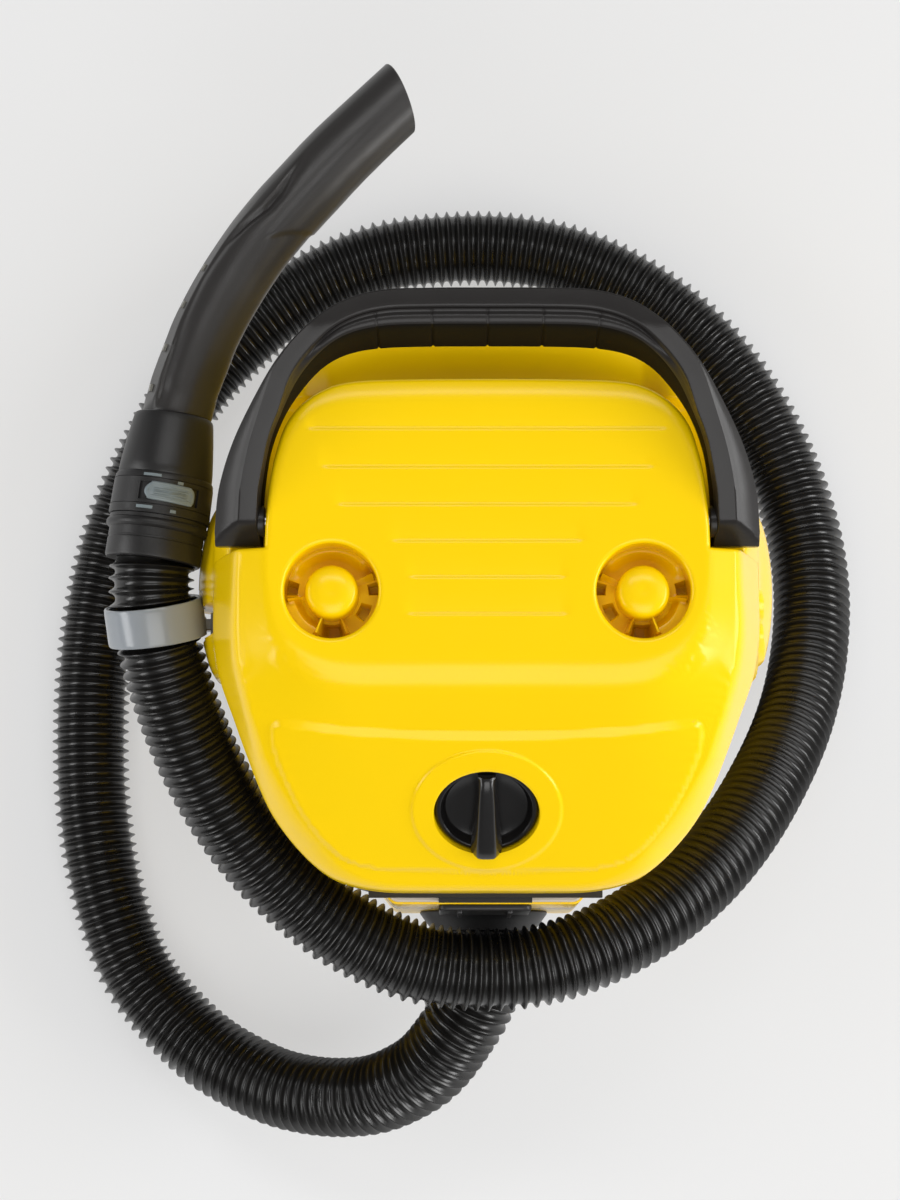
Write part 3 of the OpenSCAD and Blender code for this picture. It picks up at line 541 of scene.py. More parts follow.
def height_a(q, rim):
    """Height of the front and of the raised top plate over plan points."""
    x, y = q[:, 0], q[:, 1]
    z = 360 + 0.07 * y
    d, away = nearest(q, PLATE_C)
    d = np.where(inside(q, PLATE_C), 0, d)
    wf = np.clip(-away[:, 1], 0, 1) ** 1.5
    wr = np.clip(away[:, 1], 0, 1)
    th = np.radians(25 + 13.63 * wf - 9.5 * wr)
    R = 10 + 17.3 * wf + 15 * wr
    z = z - np.where(d < R * np.sin(th), R - np.sqrt(np.maximum(R * R - d * d, 0)), R * (1 - np.cos(th)) + (d - R * np.sin(th)) * np.tan(th))
    # boards across the plate, each rolling down to a thin step at its front edge
    for y0, hw, w in SLATS:
        t = (y - y0) / w
        m = smooth01((hw - np.abs(x)) / 7)
        z = z - 0.72 * m * np.where((y > y0 - 1.3) & (t < 1), smooth01((y - y0 + 1.3) / 2.8) * (1 - np.clip(t, 0, 1)) ** 2, 0)
    # raised front panel, and the disc round the knob
    dp, away_p = nearest(q, PANEL_C)
    inp = inside(q, PANEL_C)
    width = 3.4 + 2.6 * np.clip(-away_p[:, 1], 0, 1) ** 2 - 1.2 * np.clip(away_p[:, 1], 0, 1) ** 2
    z = z + np.where(inp, ramp01(dp / width), 0) * 1.75 / math.cos(SLOPE)
    rk = np.hypot(x, (y + 104) / math.cos(SLOPE))
    z = z + ramp01((38.6 - rk) / 2.6, 0.3) * 1.05 / math.cos(SLOPE)
    e0, _ = nearest(q, OUT_C)
    e = np.where(y > 30, 60, e0)
    sb = np.interp(y, [-142, -121, -100, -56, 13], [2.0, 2.0, 2.3, 4.0, 4.0])
    k = np.interp(y, [-142, -128, -95, -56], [2, 6, 9, 10])
    z = smin(z, wall_top(y) + e * sb, k)
    er, _ = nearest(q, rim)
    flush = smooth01((np.abs(x) - 127) / 4) * (y > 14)
    er = er * (1 - flush) + e0 * flush
    return z - edge_round(er, 2.2)


def height_b(q, rim):
    """Height of the low shelf behind and beside the top plate."""
    x, y = q[:, 0], q[:, 1]
    z = 336 + 4.5 * smooth01((np.abs(x) - 76) / 16) * smooth01((y - 92) / 8) * smooth01((132 - y) / 10)
    e, _ = nearest(q, OUT_C)
    z = smin(z, wall_top(y) + e * 4.0, 6)
    return z - edge_round(e, 2.2)


def chain(P, s0, s1=None):
    return P


# split the outline at the notch line
def cross_at(P, x_sign, y):
    n = len(P)
    for i in range(n):
        a, b = P[i], P[(i + 1) % n]
        if (a[1] - y) * (b[1] - y) < 0 and a[0] * x_sign > 0:
            t = (y - a[1]) / (b[1] - a[1])
            return i, a + t * (b - a)


iR, pR = cross_at(OUT, 1, NOTCH_Y)
iL, pL = cross_at(OUT, -1, NOTCH_Y)
front_chain = np.concatenate([[pL], OUT[iL + 1:], OUT[:iR + 1], [pR]])
rear_chain = np.concatenate([[pR], OUT[iR + 1:iL + 1], [pL]])


def drop_close(P, d=0.35):
    keep = [P[0]]
    for p in P[1:-1]:
        if np.hypot(*(p - keep[-1])) > d and np.hypot(*(p - P[-1])) > d:
            keep.append(p)
    keep.append(P[-1])
    return np.array(keep)


front_chain, rear_chain = drop_close(front_chain), drop_close(rear_chain)
for sx in (62.0, -62.0):  # a column of points on each side of the exhaust window
    k = [i for i in range(len(rear_chain) - 1) if (rear_chain[i][0] - sx) * (rear_chain[i + 1][0] - sx) < 0][0]
    t = (sx - rear_chain[k][0]) / (rear_chain[k + 1][0] - rear_chain[k][0])
    rear_chain = np.insert(rear_chain, k + 1, rear_chain[k] + t * (rear_chain[k + 1] - rear_chain[k]), axis=0)


def sample_open(P, step):
    P = np.array(P, float)
    out = []
    for i in range(len(P) - 1):
        a, b, c, d = P[max(i - 1, 0)], P[i], P[i + 1], P[min(i + 2, len(P) - 1)]
        m = max(2, int(np.hypot(*(c - b)) / step))
        for t in np.linspace(0, 1, m, endpoint=False):
            out.append(0.5 * (2 * b + (c - a) * t + (2 * a - 5 * b + 4 * c - d) * t * t + (3 * b - a - 3 * c + d) * t ** 3))
    out.append(P[-1])
    return np.array(out)


half_island = sample_open(ISLAND, 1.4)
island_chain = np.concatenate([half_island, (half_island * [-1, 1])[-2::-1]])
notch_r = np.linspace(pR, island_chain[0], 22)
notch_l = np.linspace(island_chain[-1], pL, 22)
RIM_A = np.concatenate([front_chain[:-1], notch_r[:-1], island_chain[:-1], notch_l[:-1]])
RIM_B = np.concatenate([rear_chain[:-1], notch_l[::-1][:-1], island_chain[::-1][:-1], notch_r[::-1][:-1]])
POST_X, HOLE_R, WELL_R = 76.0, 25.6, 27.3
NC, NW = 128, 128
circ = np.arange(NC) * 2 * math.pi / NC
HOLE_L = np.stack([-POST_X + HOLE_R * np.cos(circ), HOLE_R * np.sin(circ)], 1)
HOLE_RR = np.stack([POST_X + HOLE_R * np.cos(circ), HOLE_R * np.sin(circ)], 1)
cw = np.arange(NW) * 2 * math.pi / NW
WELL = np.stack([WELL_R * np.cos(cw), -104 + WELL_R * np.sin(cw) * math.cos(SLOPE)], 1)


def mesh_region(rim, holes, features, gx, gy, clear=0.75):
    """Triangles over the plan inside rim and outside the holes, with the grid and feature points."""
    pts = [rim] + list(holes)
    edges = []
    base = 0
    for loop in pts:
        n = len(loop)
        edges += [(base + i, base + (i + 1) % n) for i in range(n)]
        base += n
    fixed = np.concatenate(pts)
    extra = np.concatenate(features) if features else np.zeros((0, 2))
    ok = inside(extra, rim)
    dr, _ = nearest(extra, rim)
    ok &= dr > 0.12
    for h in holes:
        dh, _ = nearest(extra, h)
        ok &= ~inside(extra, h) & (dh > 0.5)
    extra = extra[ok]
    cell = {}
    kept = []
    for p in extra:
        key = (int(round(p[0] / 0.4)), int(round(p[1] / 0.12)))
        if key not in cell:
            cell[key] = 1
            kept.append(p)
    extra = np.array(kept) if kept else np.zeros((0, 2))
    X, Y = np.meshgrid(gx, gy)
    grid = np.stack([X.ravel(), Y.ravel()], 1)
    ok = inside(grid, rim)
    grid = grid[ok]
    dr, _ = nearest(grid, rim)
    ok = dr > 2.6
    for h in holes:
        dh, _ = nearest(grid, h)
        ok &= ~inside(grid, h) & (dh > clear)
    grid = grid[ok]
    if len(extra):  # keep the grid off the feature points
        occupied = set()
        for p in extra:
            i, j = int(math.floor(p[0] / 0.8)), int(math.floor(p[1] / 0.8))
            occupied.add((i, j))
        grid = np.array([p for p in grid if (int(math.floor(p[0] / 0.8)), int(math.floor(p[1] / 0.8))) not in occupied])
    allp = np.concatenate([fixed, extra, grid])
    res = delaunay_2d_cdt([Vector(p) for p in allp], edges, [], 0, 1e-5, True)
    vo, fo = res[0], res[2]
    P = np.array([tuple(v) for v in vo])
    F = np.array([tuple(f) for f in fo if len(f) == 3])
    c = P[F].mean(1)
    ok = inside(c, rim)
    for h in holes:
        ok &= ~inside(c, h)
    F = F[ok]
    a, b, d = P[F[:, 0]], P[F[:, 1]], P[F[:, 2]]
    area = (b[:, 0] - a[:, 0]) * (d[:, 1] - a[:, 1]) - (b[:, 1] - a[:, 1]) * (d[:, 0] - a[:, 0])
    F[area < 0] = F[area < 0][:, ::-1]
    F = F[np.abs(area) > 1e-7]
    used = np.unique(F)
    remap = -np.ones(len(P), int)
    remap[used] = np.arange(len(used))
    return P[used], remap[F]


def grad_normals(P, fn, rim):
    h = 0.06
    z = fn(P, rim)
    zx = (fn(P + [h, 0], rim) - fn(P - [h, 0], rim)) / (2 * h)
    zy = (fn(P + [0, h], rim) - fn(P - [0, h], rim)) / (2 * h)
    return z, unit(np.stack([-zx, -zy, np.ones(len(P))], 1))


class Shell:
    """Gathers points and faces by place, so that neighbouring patches share their edge."""

    def __init__(self):
        self.v, self.f, self.key, self.given = [], [], {}, {}

    def at(self, p):
        k = (round(p[0], 3), round(p[1], 3), round(p[2], 3))
        if k not in self.key:
            self.key[k] = len(self.v)
            self.v.append(tuple(p))
        return self.key[k]

    def face(self, ps, normals=None):
        idx = []
        nn = []
        for i, p in enumerate(ps):
            j = self.at(p)
            if j not in idx:
                idx.append(j)
                if normals is not None:
                    nn.append(normals[i])
        if len(idx) > 2:
            if normals is not None:
                self.given[len(self.f)] = nn
            self.f.append(tuple(idx))

    def grid(self, rings, closed=True):
        m, n = len(rings), len(rings[0])
        for i in range(m - 1):
            for k in range(n if closed else n - 1):
                self.face([rings[i][k], rings[i][(k + 1) % n], rings[i + 1][(k + 1) % n], rings[i + 1][k]])

    def make(self, name, material, sharp=32):
        me = bpy.data.meshes.new(name)
        V = np.array(self.v) + TUB
        me.from_pydata((V * MM).tolist(), [], self.f)
        me.update()
        me.shade_smooth()
        me.set_sharp_from_angle(angle=math.radians(sharp))
        n = len(me.loops)
        cn = np.empty(n * 3, np.float32)
        me.corner_normals.foreach_get("vector", cn)
        cn = cn.reshape(-1, 3)
        for fi, nn in self.given.items():
            p = me.polygons[fi]
            for li, nv in zip(p.loop_indices, nn):
                cn[li] = nv
        me.normals_split_custom_set(cn.tolist())
        return link(name, me, material)


def make_head():
    sh = Shell()
    feats = []
    for e in (0.22, 0.7, 1.3, 2.1):
        feats.append(inset_ring(RIM_A, e))
    for y0, hw, w in SLATS:
        xs = np.arange(-hw, hw + 0.1, 1.3)
        for dy in (-2.0, -1.3, -0.85, -0.4, 0.1, 0.6, 1.05, 1.5, 2.3, 3.6):
            feats.append(np.stack([xs, np.full(len(xs), y0 + dy)], 1))
    PF = four_point(both(PANEL), 3)
    for e in (0.0, 0.55, 1.3, 2.2, 3.3, 4.6, 6.2):
        feats.append(inset_ring(PF, e))
    for r in (35.6, 36.2, 36.9, 37.6, 38.3, 38.9):
        a = np.arange(170) * 2 * math.pi / 170
        feats.append(np.stack([r * np.cos(a), -104 + r * np.sin(a) * math.cos(SLOPE)], 1))
    gx = np.arange(-138, 138.1, 1.9)
    gy = np.arange(-142, 104, 1.7)
    P, F = mesh_region(RIM_A, [HOLE_L, HOLE_RR, WELL], feats, gx, gy)
    z, N = grad_normals(P, height_a, RIM_A)
    d, away = nearest(P, RIM_A)
    on = d < 1e-3
    rn = ring_normals(RIM_A)
    for i in np.nonzero(on)[0]:
        k = np.hypot(*(RIM_A - P[i]).T).argmin()
        N[i] = unit([rn[k][0], rn[k][1], 0.25])
    V3 = np.c_[P, z]
    for f in F:
        sh.face([V3[i] for i in f], [N[i] for i in f])
    zA = {(round(p[0], 3), round(p[1], 3)): zz for p, zz in zip(P, z)}
    # rear shelf
    featsb = [rear_chain - np.r_[[[0, 0]], ring_normals(OUT)[:1].repeat(len(rear_chain) - 1, 0)] * 0]
    featsb = []
    nr = unit(np.stack([np.gradient(rear_chain[:, 1]), -np.gradient(rear_chain[:, 0])], 1))
    for e in (0.22, 0.7, 1.3, 2.1):
        featsb.append((rear_chain - nr * e)[2:-2])
    PB, FB = mesh_region(RIM_B, [], featsb, np.arange(-138, 138.1, 3.1), np.arange(22, 146, 3.0))
    zb, NB = grad_normals(PB, height_b, RIM_B)
    db, _ = nearest(PB, rear_chain_closed)
    for i in range(len(PB)):
        k = np.hypot(*(rear_chain - PB[i]).T).argmin()
        if np.hypot(*(rear_chain[k] - PB[i])) < 1e-3:
            NB[i] = unit([nr[k][0], nr[k][1], 0.25])
    VB = np.c_[PB, zb]
    for f in FB:
        sh.face([VB[i] for i in f], [NB[i] for i in f])
    zB = {(round(p[0], 3), round(p[1], 3)): zz for p, zz in zip(PB, zb)}

    def top_of(p, table, fn, rim):
        k = (round(p[0], 3), round(p[1], 3))
        return table[k] if k in table else float(fn(np.array([p]), rim)[0])

    # wall of the raised plate and the notch faces, one band from plate to shelf
    inner = np.concatenate([notch_r[:-1], island_chain[:-1], notch_l])
    topz = np.array([top_of(p, zA, height_a, RIM_A) for p in inner])
    botz = np.array([top_of(p, zB, height_b, RIM_B) for p in inner])
    rows = [np.c_[inner, topz + (botz - topz) * t] for t in (0, 0.12, 0.5, 1)]
    for a, b in zip(rows[:-1], rows[1:]):
        for k in range(len(inner) - 1):
            sh.face([a[k], b[k], b[k + 1], a[k + 1]])
    # outer wall
    ringp = np.concatenate([front_chain[:-1], rear_chain[:-1]])
    nf = len(front_chain) - 1
    zt = np.array([top_of(p, zA, height_a, RIM_A) for p in front_chain[:-1]] + [top_of(p, zB, height_b, RIM_B) for p in rear_chain[:-1]])
    levels = list(np.arange(328, 309, -4.0)) + [308] + list(np.arange(304, 300, -2.0)) + list(np.arange(300, 263, -1.6)) + [262, 260, 258, 256, 254, 252.2, 251.8, 250, 247.5, 245, 243]
    x, y = ringp[:, 0], ringp[:, 1]
    u = (y - 11) / 46
    bul = np.where(np.abs(u) < 1, 134 + 13.5 * np.sqrt(np.maximum(1 - u * u, 0)) - np.abs(x), 0)
    bul = np.maximum(bul, 0) * (np.abs(x) > 110)
    bul = np.where(bul > 0, bul * smooth01(bul / 3 + 0.2), 0)
    hose_tub = hose_line[:: 6] - TUB
    hose_near = hose_tub[(hose_tub[:, 2] > 200) & (hose_tub[:, 0] < -100)]
    ring_c = np.array([-169.0, 2, 261.8]) - TUB
    ring_ax = unit(np.array([math.sin(math.radians(-7.5)) * 0 + 0, 1, 0.0]))
    R1 = Matrix.Rotation(math.radians(7.5), 3, "Z") @ Matrix.Rotation(math.radians(-75.5), 3, "X")
    ring_ax = np.array(R1 @ Vector((0, 0, 1)))
    rows = []
    bottoms = 243 - 5 * np.clip(bul / 3, 0, 1)
    for li, lv in enumerate([999] + levels):
        zz = np.minimum(lv, zt)
        if li == len(levels):
            zz = np.minimum(bottoms, zt)
        g = smooth01((300 - zz) / 46)
        b = bul * g
        pocket = (y > 13.6) & (y < 38.4) & (zz < 252) & (np.abs(x) > 120)
        b = np.where(pocket, 0, b)
        left_slot = (x < -120) & (y > -12.6) & (y < 3.0)
        b = np.where(left_slot, 0, b)
        px = np.abs(x) + b
        sg = np.sign(x)
        side = np.abs(x) > 110
        # keyhole and long slot in the right lug
        xr = px * np.where(x > 0, 1, 0)
        m1 = np.clip(1.35 - (((y - 1.0) / 6.4) ** 2 + ((xr - 138.2) / 2.4) ** 2), 0, 1)
        m2 = np.clip(1.35 - (((y + 12.5) / 4.6) ** 2 + ((xr - 138.2) / 2.2) ** 2), 0, 1)
        sl = 140.2 - 0.12 * (y + 25)
        m3 = np.clip(1.35 - (((y + 25) / 11.5) ** 4 + ((xr - sl) / 2.2) ** 2), 0, 1)
        dent = np.maximum(np.maximum(m1, m2), m3)
        px = px - 3.4 * smooth01(dent * 1.4) * (x > 120)
        q = np.stack([np.where(side, sg * px, x), y, zz], 1)
        # keep clear of the hose and its clip ring
        near = np.nonzero((q[:, 0] < -120) & (b > 0))[0]
        for i in near:
            for _ in range(6):
                dd = np.linalg.norm(hose_near - q[i], axis=1).min()
                v = q[i] - ring_c
                along = v @ ring_ax
                rr = np.linalg.norm(v - along * ring_ax)
                lack = max(0, 23.3 - dd, (26.3 - rr) if abs(along) < 12 else 0)
                if lack <= 0:
                    break
                q[i, 0] = min(q[i, 0] + lack * 1.05, -136.4)
        rows.append(q)
    n = len(ringp)
    win = [(-62 < (x[k] + x[(k + 1) % n]) / 2 < 62) and y[k] > 100 for k in range(n)]
    for a, b in zip(rows[:-1], rows[1:]):
        for k in range(n):
            k2 = (k + 1) % n
            if win[k] and a[k][2] <= 308.01 and b[k][2] >= 261.99:
                continue
            sh.face([a[k2], a[k], b[k], b[k2]])
    # return at the bottom edge
    last = rows[-1]
    rim_in = last.copy()
    nn = unit(np.stack([np.roll(last[:, 1], -1) - np.roll(last[:, 1], 1), -(np.roll(last[:, 0], -1) - np.roll(last[:, 0], 1))], 1))
    rim_in[:, :2] -= nn * 2.4
    up = rim_in.copy()
    up[:, 2] += 9
    for a, b in ((last, rim_in), (rim_in, up)):
        for k in range(n):
            k2 = (k + 1) % n
            sh.face([a[k2], a[k], b[k], b[k2]])
    # sides of the exhaust window
    cols = [k for k in range(n) if win[k]]
    cols = cols + [(cols[-1] + 1) % n]
    nrm = ring_normals(ringp)
    zs = [308.0] + [lv for lv in levels if 262 < lv < 308] + [262.0]

    def wp(k, z, dpt):
        return (ringp[k][0] - nrm[k][0] * dpt * 0, ringp[k][1] - nrm[k][1] * dpt, z)

    for a, b in zip(cols[:-1], cols[1:]):
        sh.face([wp(a, 308.0, 0), wp(b, 308.0, 0), wp(b, 308.0, 3), wp(a, 308.0, 3)])
        sh.face([wp(b, 262.0, 0), wp(a, 262.0, 0), wp(a, 262.0, 3), wp(b, 262.0, 3)])
    for c, s in ((cols[0], 1), (cols[-1], -1)):
        for z0, z1 in zip(zs[:-1], zs[1:]):
            f = [wp(c, z0, 0), wp(c, z0, 3), wp(c, z1, 3), wp(c, z1, 0)]
            sh.face(f if s > 0 else f[::-1])
    # accessory recesses with their posts
    for cx, mir in ((-POST_X, 1), (POST_X, -1)):
        hole = HOLE_L if cx < 0 else HOLE_RR
        zr = np.array([zA.get((round(p[0], 3), round(p[1], 3)), 360.0) for p in hole])
        deg = np.degrees(circ)
        dl = deg if mir > 0 else (180 - deg) % 360

        def near_deg(c, half, soft=3.0):
            dd = np.abs((dl - c + 180) % 360 - 180)
            return smooth01((half + soft - dd) / soft)

        rings = [np.c_[hole, zr]]
        for a in np.radians([15, 35, 55, 75, 90]):
            r = HOLE_R - 0.35 - 2.2 * math.sin(a)
            z = zr - 2.2 * (1 - math.cos(a))
            rings.append(np.stack([cx + r * np.cos(circ), r * np.sin(circ), z], 1))
        for r in (22.95, 22.9, 22.8, 22.4, 21.8, 21.0, 20.2, 19.4, 18.6, 17.8, 17.0, 16.2, 15.4, 14.6, 13.9, 13.45, 13.25):
            zf = np.full(NC, 338.5)
            zf += near_deg(222, 30, 12) * 6.5 * smooth01((r - 15) / 4)
            zf += near_deg(95, 45, 20) * 3.0 * smooth01((r - 17) / 5)
            pk = near_deg(170, 6) * (17.5 < r < 22.6)
            pk = np.maximum(pk, near_deg(9, 5) * (18.5 < r < 22.85))
            pk = np.maximum(pk, near_deg(-28, 9) * (15.2 < r < 20.0))
            pk = np.maximum(pk, near_deg(-90, 13) * (14.8 < r < 21.5))
            zf = zf - 8.5 * pk
            rib = np.maximum(near_deg(-111, 1.5, 2.5), near_deg(-70, 1.5, 2.5)) * (r < 21.5)
            rib = np.maximum(rib, near_deg(25, 1.2, 2.5) * (r < 22))
            rib = np.maximum(rib, near_deg(-172, 1.2, 2.5) * (r < 22))
            zf = np.where(rib > 0, zf + rib * (351 - zf), zf)
            if r > 22.85:
                zf = np.full(NC, 352.0) if r > 22.92 else zf
            rings.append(np.stack([cx + r * np.cos(circ), r * np.sin(circ), zf], 1))
        for r, z in ((13.2, 350), (13.05, 352.5), (12.7, 354.2), (12.0, 355.6), (10.8, 356.6), (8.8, 357.4), (6.2, 357.9), (3.2, 358.2), (1.6, 358.0)):
            rings.append(np.stack([cx + r * np.cos(circ), r * np.sin(circ), np.full(NC, float(z))], 1))
        for a, b in zip(rings[:-1], rings[1:]):
            for k in range(NC):
                k2 = (k + 1) % NC
                sh.face([a[k], a[k2], b[k2], b[k]])
        sh.face([tuple(p) for p in rings[-1]])
    # knob well
    zr = np.array([zA.get((round(p[0], 3), round(p[1], 3)), 305.0) for p in WELL])
    ey, ez = math.cos(SLOPE), math.sin(SLOPE)
    top = np.c_[WELL, zr]
    plane_z = 303.633 + (WELL[:, 1] + 104) * math.tan(SLOPE)
    h0 = float(((zr - plane_z) * math.cos(SLOPE)).mean())
    rings = [top]
    for r, h in [(27.0, h0 - 0.02), (26.6, h0 - 0.2), (26.35, h0 - 0.6), (26.25, h0 - 1.3), (26.2, -4.0), (26.2, -10.6), (6.5, -10.9), (6.5, -14)]:
        rings.append(np.stack([r * np.cos(cw), -104 + r * np.sin(cw) * ey - h * ez, 303.633 + r * np.sin(cw) * ez + h * ey], 1))
    for a, b in zip(rings[:-1], rings[1:]):
        for k in range(NW):
            k2 = (k + 1) % NW
            sh.face([a[k], a[k2], b[k2], b[k]])
    return sh.make("head_cover_shell", YELLOW)


rear_chain_closed = rear_chain
head = make_head()
finish_piece(head, "root", ["head_cover"])

# ---------------------------------------------------------------- carry handle
H_OUT = [(133.2, 23.2), (133.2, 27.5), (133.1, 32), (130.8, 50), (123.6, 71), (112.4, 92), (100.4, 110), (87, 124), (71, 135), (52, 140.6), (28, 141.7), (0, 141.8)]
H_IN = [(109.7, 23.2), (109.7, 27.5), (109.6, 32), (108.9, 49), (105.6, 69), (98.4, 86.5), (88.6, 99.5), (78.5, 108.6), (66, 114.2), (50, 116.6), (27, 117.3), (0, 117.4)]
BAND = 9.1


def handle_top(y):
    return np.interp(y, [23, 32, 60, 100, 124, 143], [358.6, 361.8, 373.6, 388.6, 396.6, 398])


def handle_low(y):
    r = np.clip(29 - y, 0, 6.2)
    return np.interp(y, [23, 35, 60, 108, 143], [338.4, 338, 345, 364, 374]) + 6.4 - np.sqrt(np.maximum(6.4 ** 2 - r * r, 0))


def both_ends(P, per=40):
    P = np.array(P, float)
    full = np.concatenate([P, (P * [-1, 1])[-2::-1]])
    out = []
    for i in range(len(full) - 1):
        a, b, c, d = full[max(i - 1, 0)], full[i], full[i + 1], full[min(i + 2, len(full) - 1)]
        for t in np.linspace(0, 1, per, endpoint=False):
            out.append(0.5 * (2 * b + (c - a) * t + (2 * a - 5 * b + 4 * c - d) * t * t + (3 * b - a - 3 * c + d) * t ** 3))
    out.append(full[-1])
    return np.array(out)


ROLL_A = [0.02, 0.06, 0.11, 0.155, 0.20, 0.25, 0.34, 0.44, 0.53, 0.61, 0.68, 0.75, 0.82, 0.89, 0.95]
ROLL_C = [0.040, 0.062, 0.072, 0.066, 0.050, 0.044, 0.046, 0.062, 0.100, 0.165, 0.265, 0.40, 0.56, 0.72, 0.85]
ROLL_D = [0.050, 0.075, 0.105, 0.140, 0.18, 0.225, 0.275, 0.33, 0.39, 0.455, 0.525, 0.60, 0.68, 0.77, 0.86]


def make_handle():
    O, I = both_ends(H_OUT), both_ends(H_IN)
    mid = (O + I) / 2
    s = np.concatenate([[0], np.cumsum(np.hypot(*np.diff(mid, axis=0).T))])
    L = s[-1]
    at = [np.arange(0, 14, 0.55), np.arange(14, L - 14, 2.1), np.arange(L - 14, L, 0.55), [L]]
    for gx in (-53.2, -26.6, 0.0, 26.6, 53.2):      # thin grooves between the finger pads
        c = np.interp(-gx, -mid[:, 0], s)
        at.append(c + np.array([-1.5, -1.0, -0.7, -0.45, -0.22, 0, 0.22, 0.45, 0.7, 1.0, 1.5]))
    at = np.unique(np.round(np.concatenate(at), 2))
    keep = [at[0]]
    for v in at[1:]:
        if v - keep[-1] > 0.18:
            keep.append(v)
    keep[-1] = L
    at = np.array(keep)
    O = np.stack([np.interp(at, s, O[:, k]) for k in (0, 1)], 1)
    I = np.stack([np.interp(at, s, I[:, k]) for k in (0, 1)], 1)
    n = len(at)
    yy = O[:, 1]
    ubs = np.interp(yy, [23, 40, 54, 66, 79, 93.5, 104, 113], [11.4, 11.2, 10.3, 8.9, 6.9, 3.8, 1.1, 0.5])
    for _ in range(3):
        ubs = np.interp(at, at, np.array([np.average(ubs, weights=np.exp(-((at - v) / 3.5) ** 2)) for v in at]))
    rings = []
    cols = None
    for k in range(n):
        o, i = O[k], I[k]
        w = np.hypot(*(i - o))
        d = (i - o) / w
        ub = ubs[k]
        hb = 0.8 * ub
        bi = min(ub + BAND, w - 1.3)
        g = w - bi
        gs = float(smooth01((g - 2.6) / 7.5))

        def top(u):
            return float(handle_top(o[1] + d[1] * u))
        lo, li = float(handle_low(o[1])), float(handle_low(i[1])) + 3.0 * gs
        zo, zb = top(ub), top(bi)
        xg = o[0] + d[0] * w * 0.8
        q = abs(xg - round(xg / 26.6) * 26.6)
        dent = 0.0
        if abs(xg) < 60:
            dent = gs * (0.75 * math.exp(-(q / 0.62) ** 2) + 0.45 * (q / 13.3) ** 2 * 0)
        prof = [(4.0, lo), (1.7, lo + 0.4), (0.5, lo + 1.6), (0.05, lo + 3.4), (0, max(lo + 4.6, zo - hb - 1.6))]
        for t in (0, 0.08, 0.25, 0.45, 0.65, 0.85, 1.0):
            prof.append((ub * t, zo - 0.3 - hb * (1 - t) * (0.62 + 0.38 * (1 - t))))
        prof += [(ub + 0.35, zo - 0.06), (ub + 1.1, top(ub + 1.1)), (ub + 4.0, top(ub + 4.0))]
        rr = 0.55 + 1.25 * gs
        for f1, f2 in ((1.0, 0.0), (0.68, 0.06), (0.38, 0.22), (0.15, 0.46), (0.0, 0.85)):
            prof.append((bi - rr * f1, top(bi - rr * f1) - rr * f2))
        K0 = len(prof) - 1
        H = zb - li
        for a, c, e in zip(ROLL_A, ROLL_C, ROLL_D):
            u = bi + g * a * (0.96 + 0.04 * (1 - gs))
            z = zb - H * (c * gs + e * (1 - gs))
            if c > 0.09:
                u -= dent * min(1.0, (c - 0.09) / 0.1)
            elif c > 0.045:
                z -= dent * 0.35
            prof.append((u, z))
        prof += [(w * 0.985 - 0.2 * gs - dent, li + 1.5), (w - 1.5 - 0.4 * gs - dent, li + 0.3), (w - 3.4, li + 0.6 * dent), (w * 0.5, (lo + li) / 2)]
        K1 = len(prof) - 1
        y0 = mid[0][1]
        ring = []
        for u, z in prof:
            x, y = o[0] + d[0] * u, o[1] + d[1] * u
            if y < 40 and abs(x) > 100:
                cut = 361.2 - 1.5 * (32.4 - y)
                h = max(1.6 - abs(z - cut), 0)
                z = min(z, cut) - h * h / 6.4 if z > 343 else z
            ring.append((x, y, z))
        rings.append(np.array(ring) + TUB)
        cols = (K0, K1, len(prof))
    body = loft("handle_body", rings, HANDLE, sharp=30)
    body.data.materials.append(HANDLE_UNDERSIDE_SHADE)
    K0, K1, m = cols
    # faces of the lower roll and inner wall take the darker copy: painted shade under the handle
    for p in body.data.polygons:
        if p.index < (n - 1) * m and K0 + 9 <= p.index % m < K1:
            p.material_index = 1
    bosses = []
    for sx in (1, -1):
        bosses.append(revolve("boss", [(0.0, 0), (6.6, 0), (7.6, 0.5), (7.8, 1.2), (7.8, 3.4)], HANDLE, origin=np.array([sx * 108.6, 35, 350]) + TUB, axis=(sx, 0, 0), n=40))
    return join("carry_handle_shape", [body] + bosses)


handle = make_handle()
finish_piece(handle, "handle", ["carry_handle"])

# ---------------------------------------------------------------- turning knob
KB = basis((0, -math.sin(SLOPE), math.cos(SLOPE)), (1, 0, 0))
K0 = np.array([0, -104, 303.633]) + TUB


def on_panel(P):
    return np.asarray(P, float) @ KB.T + K0


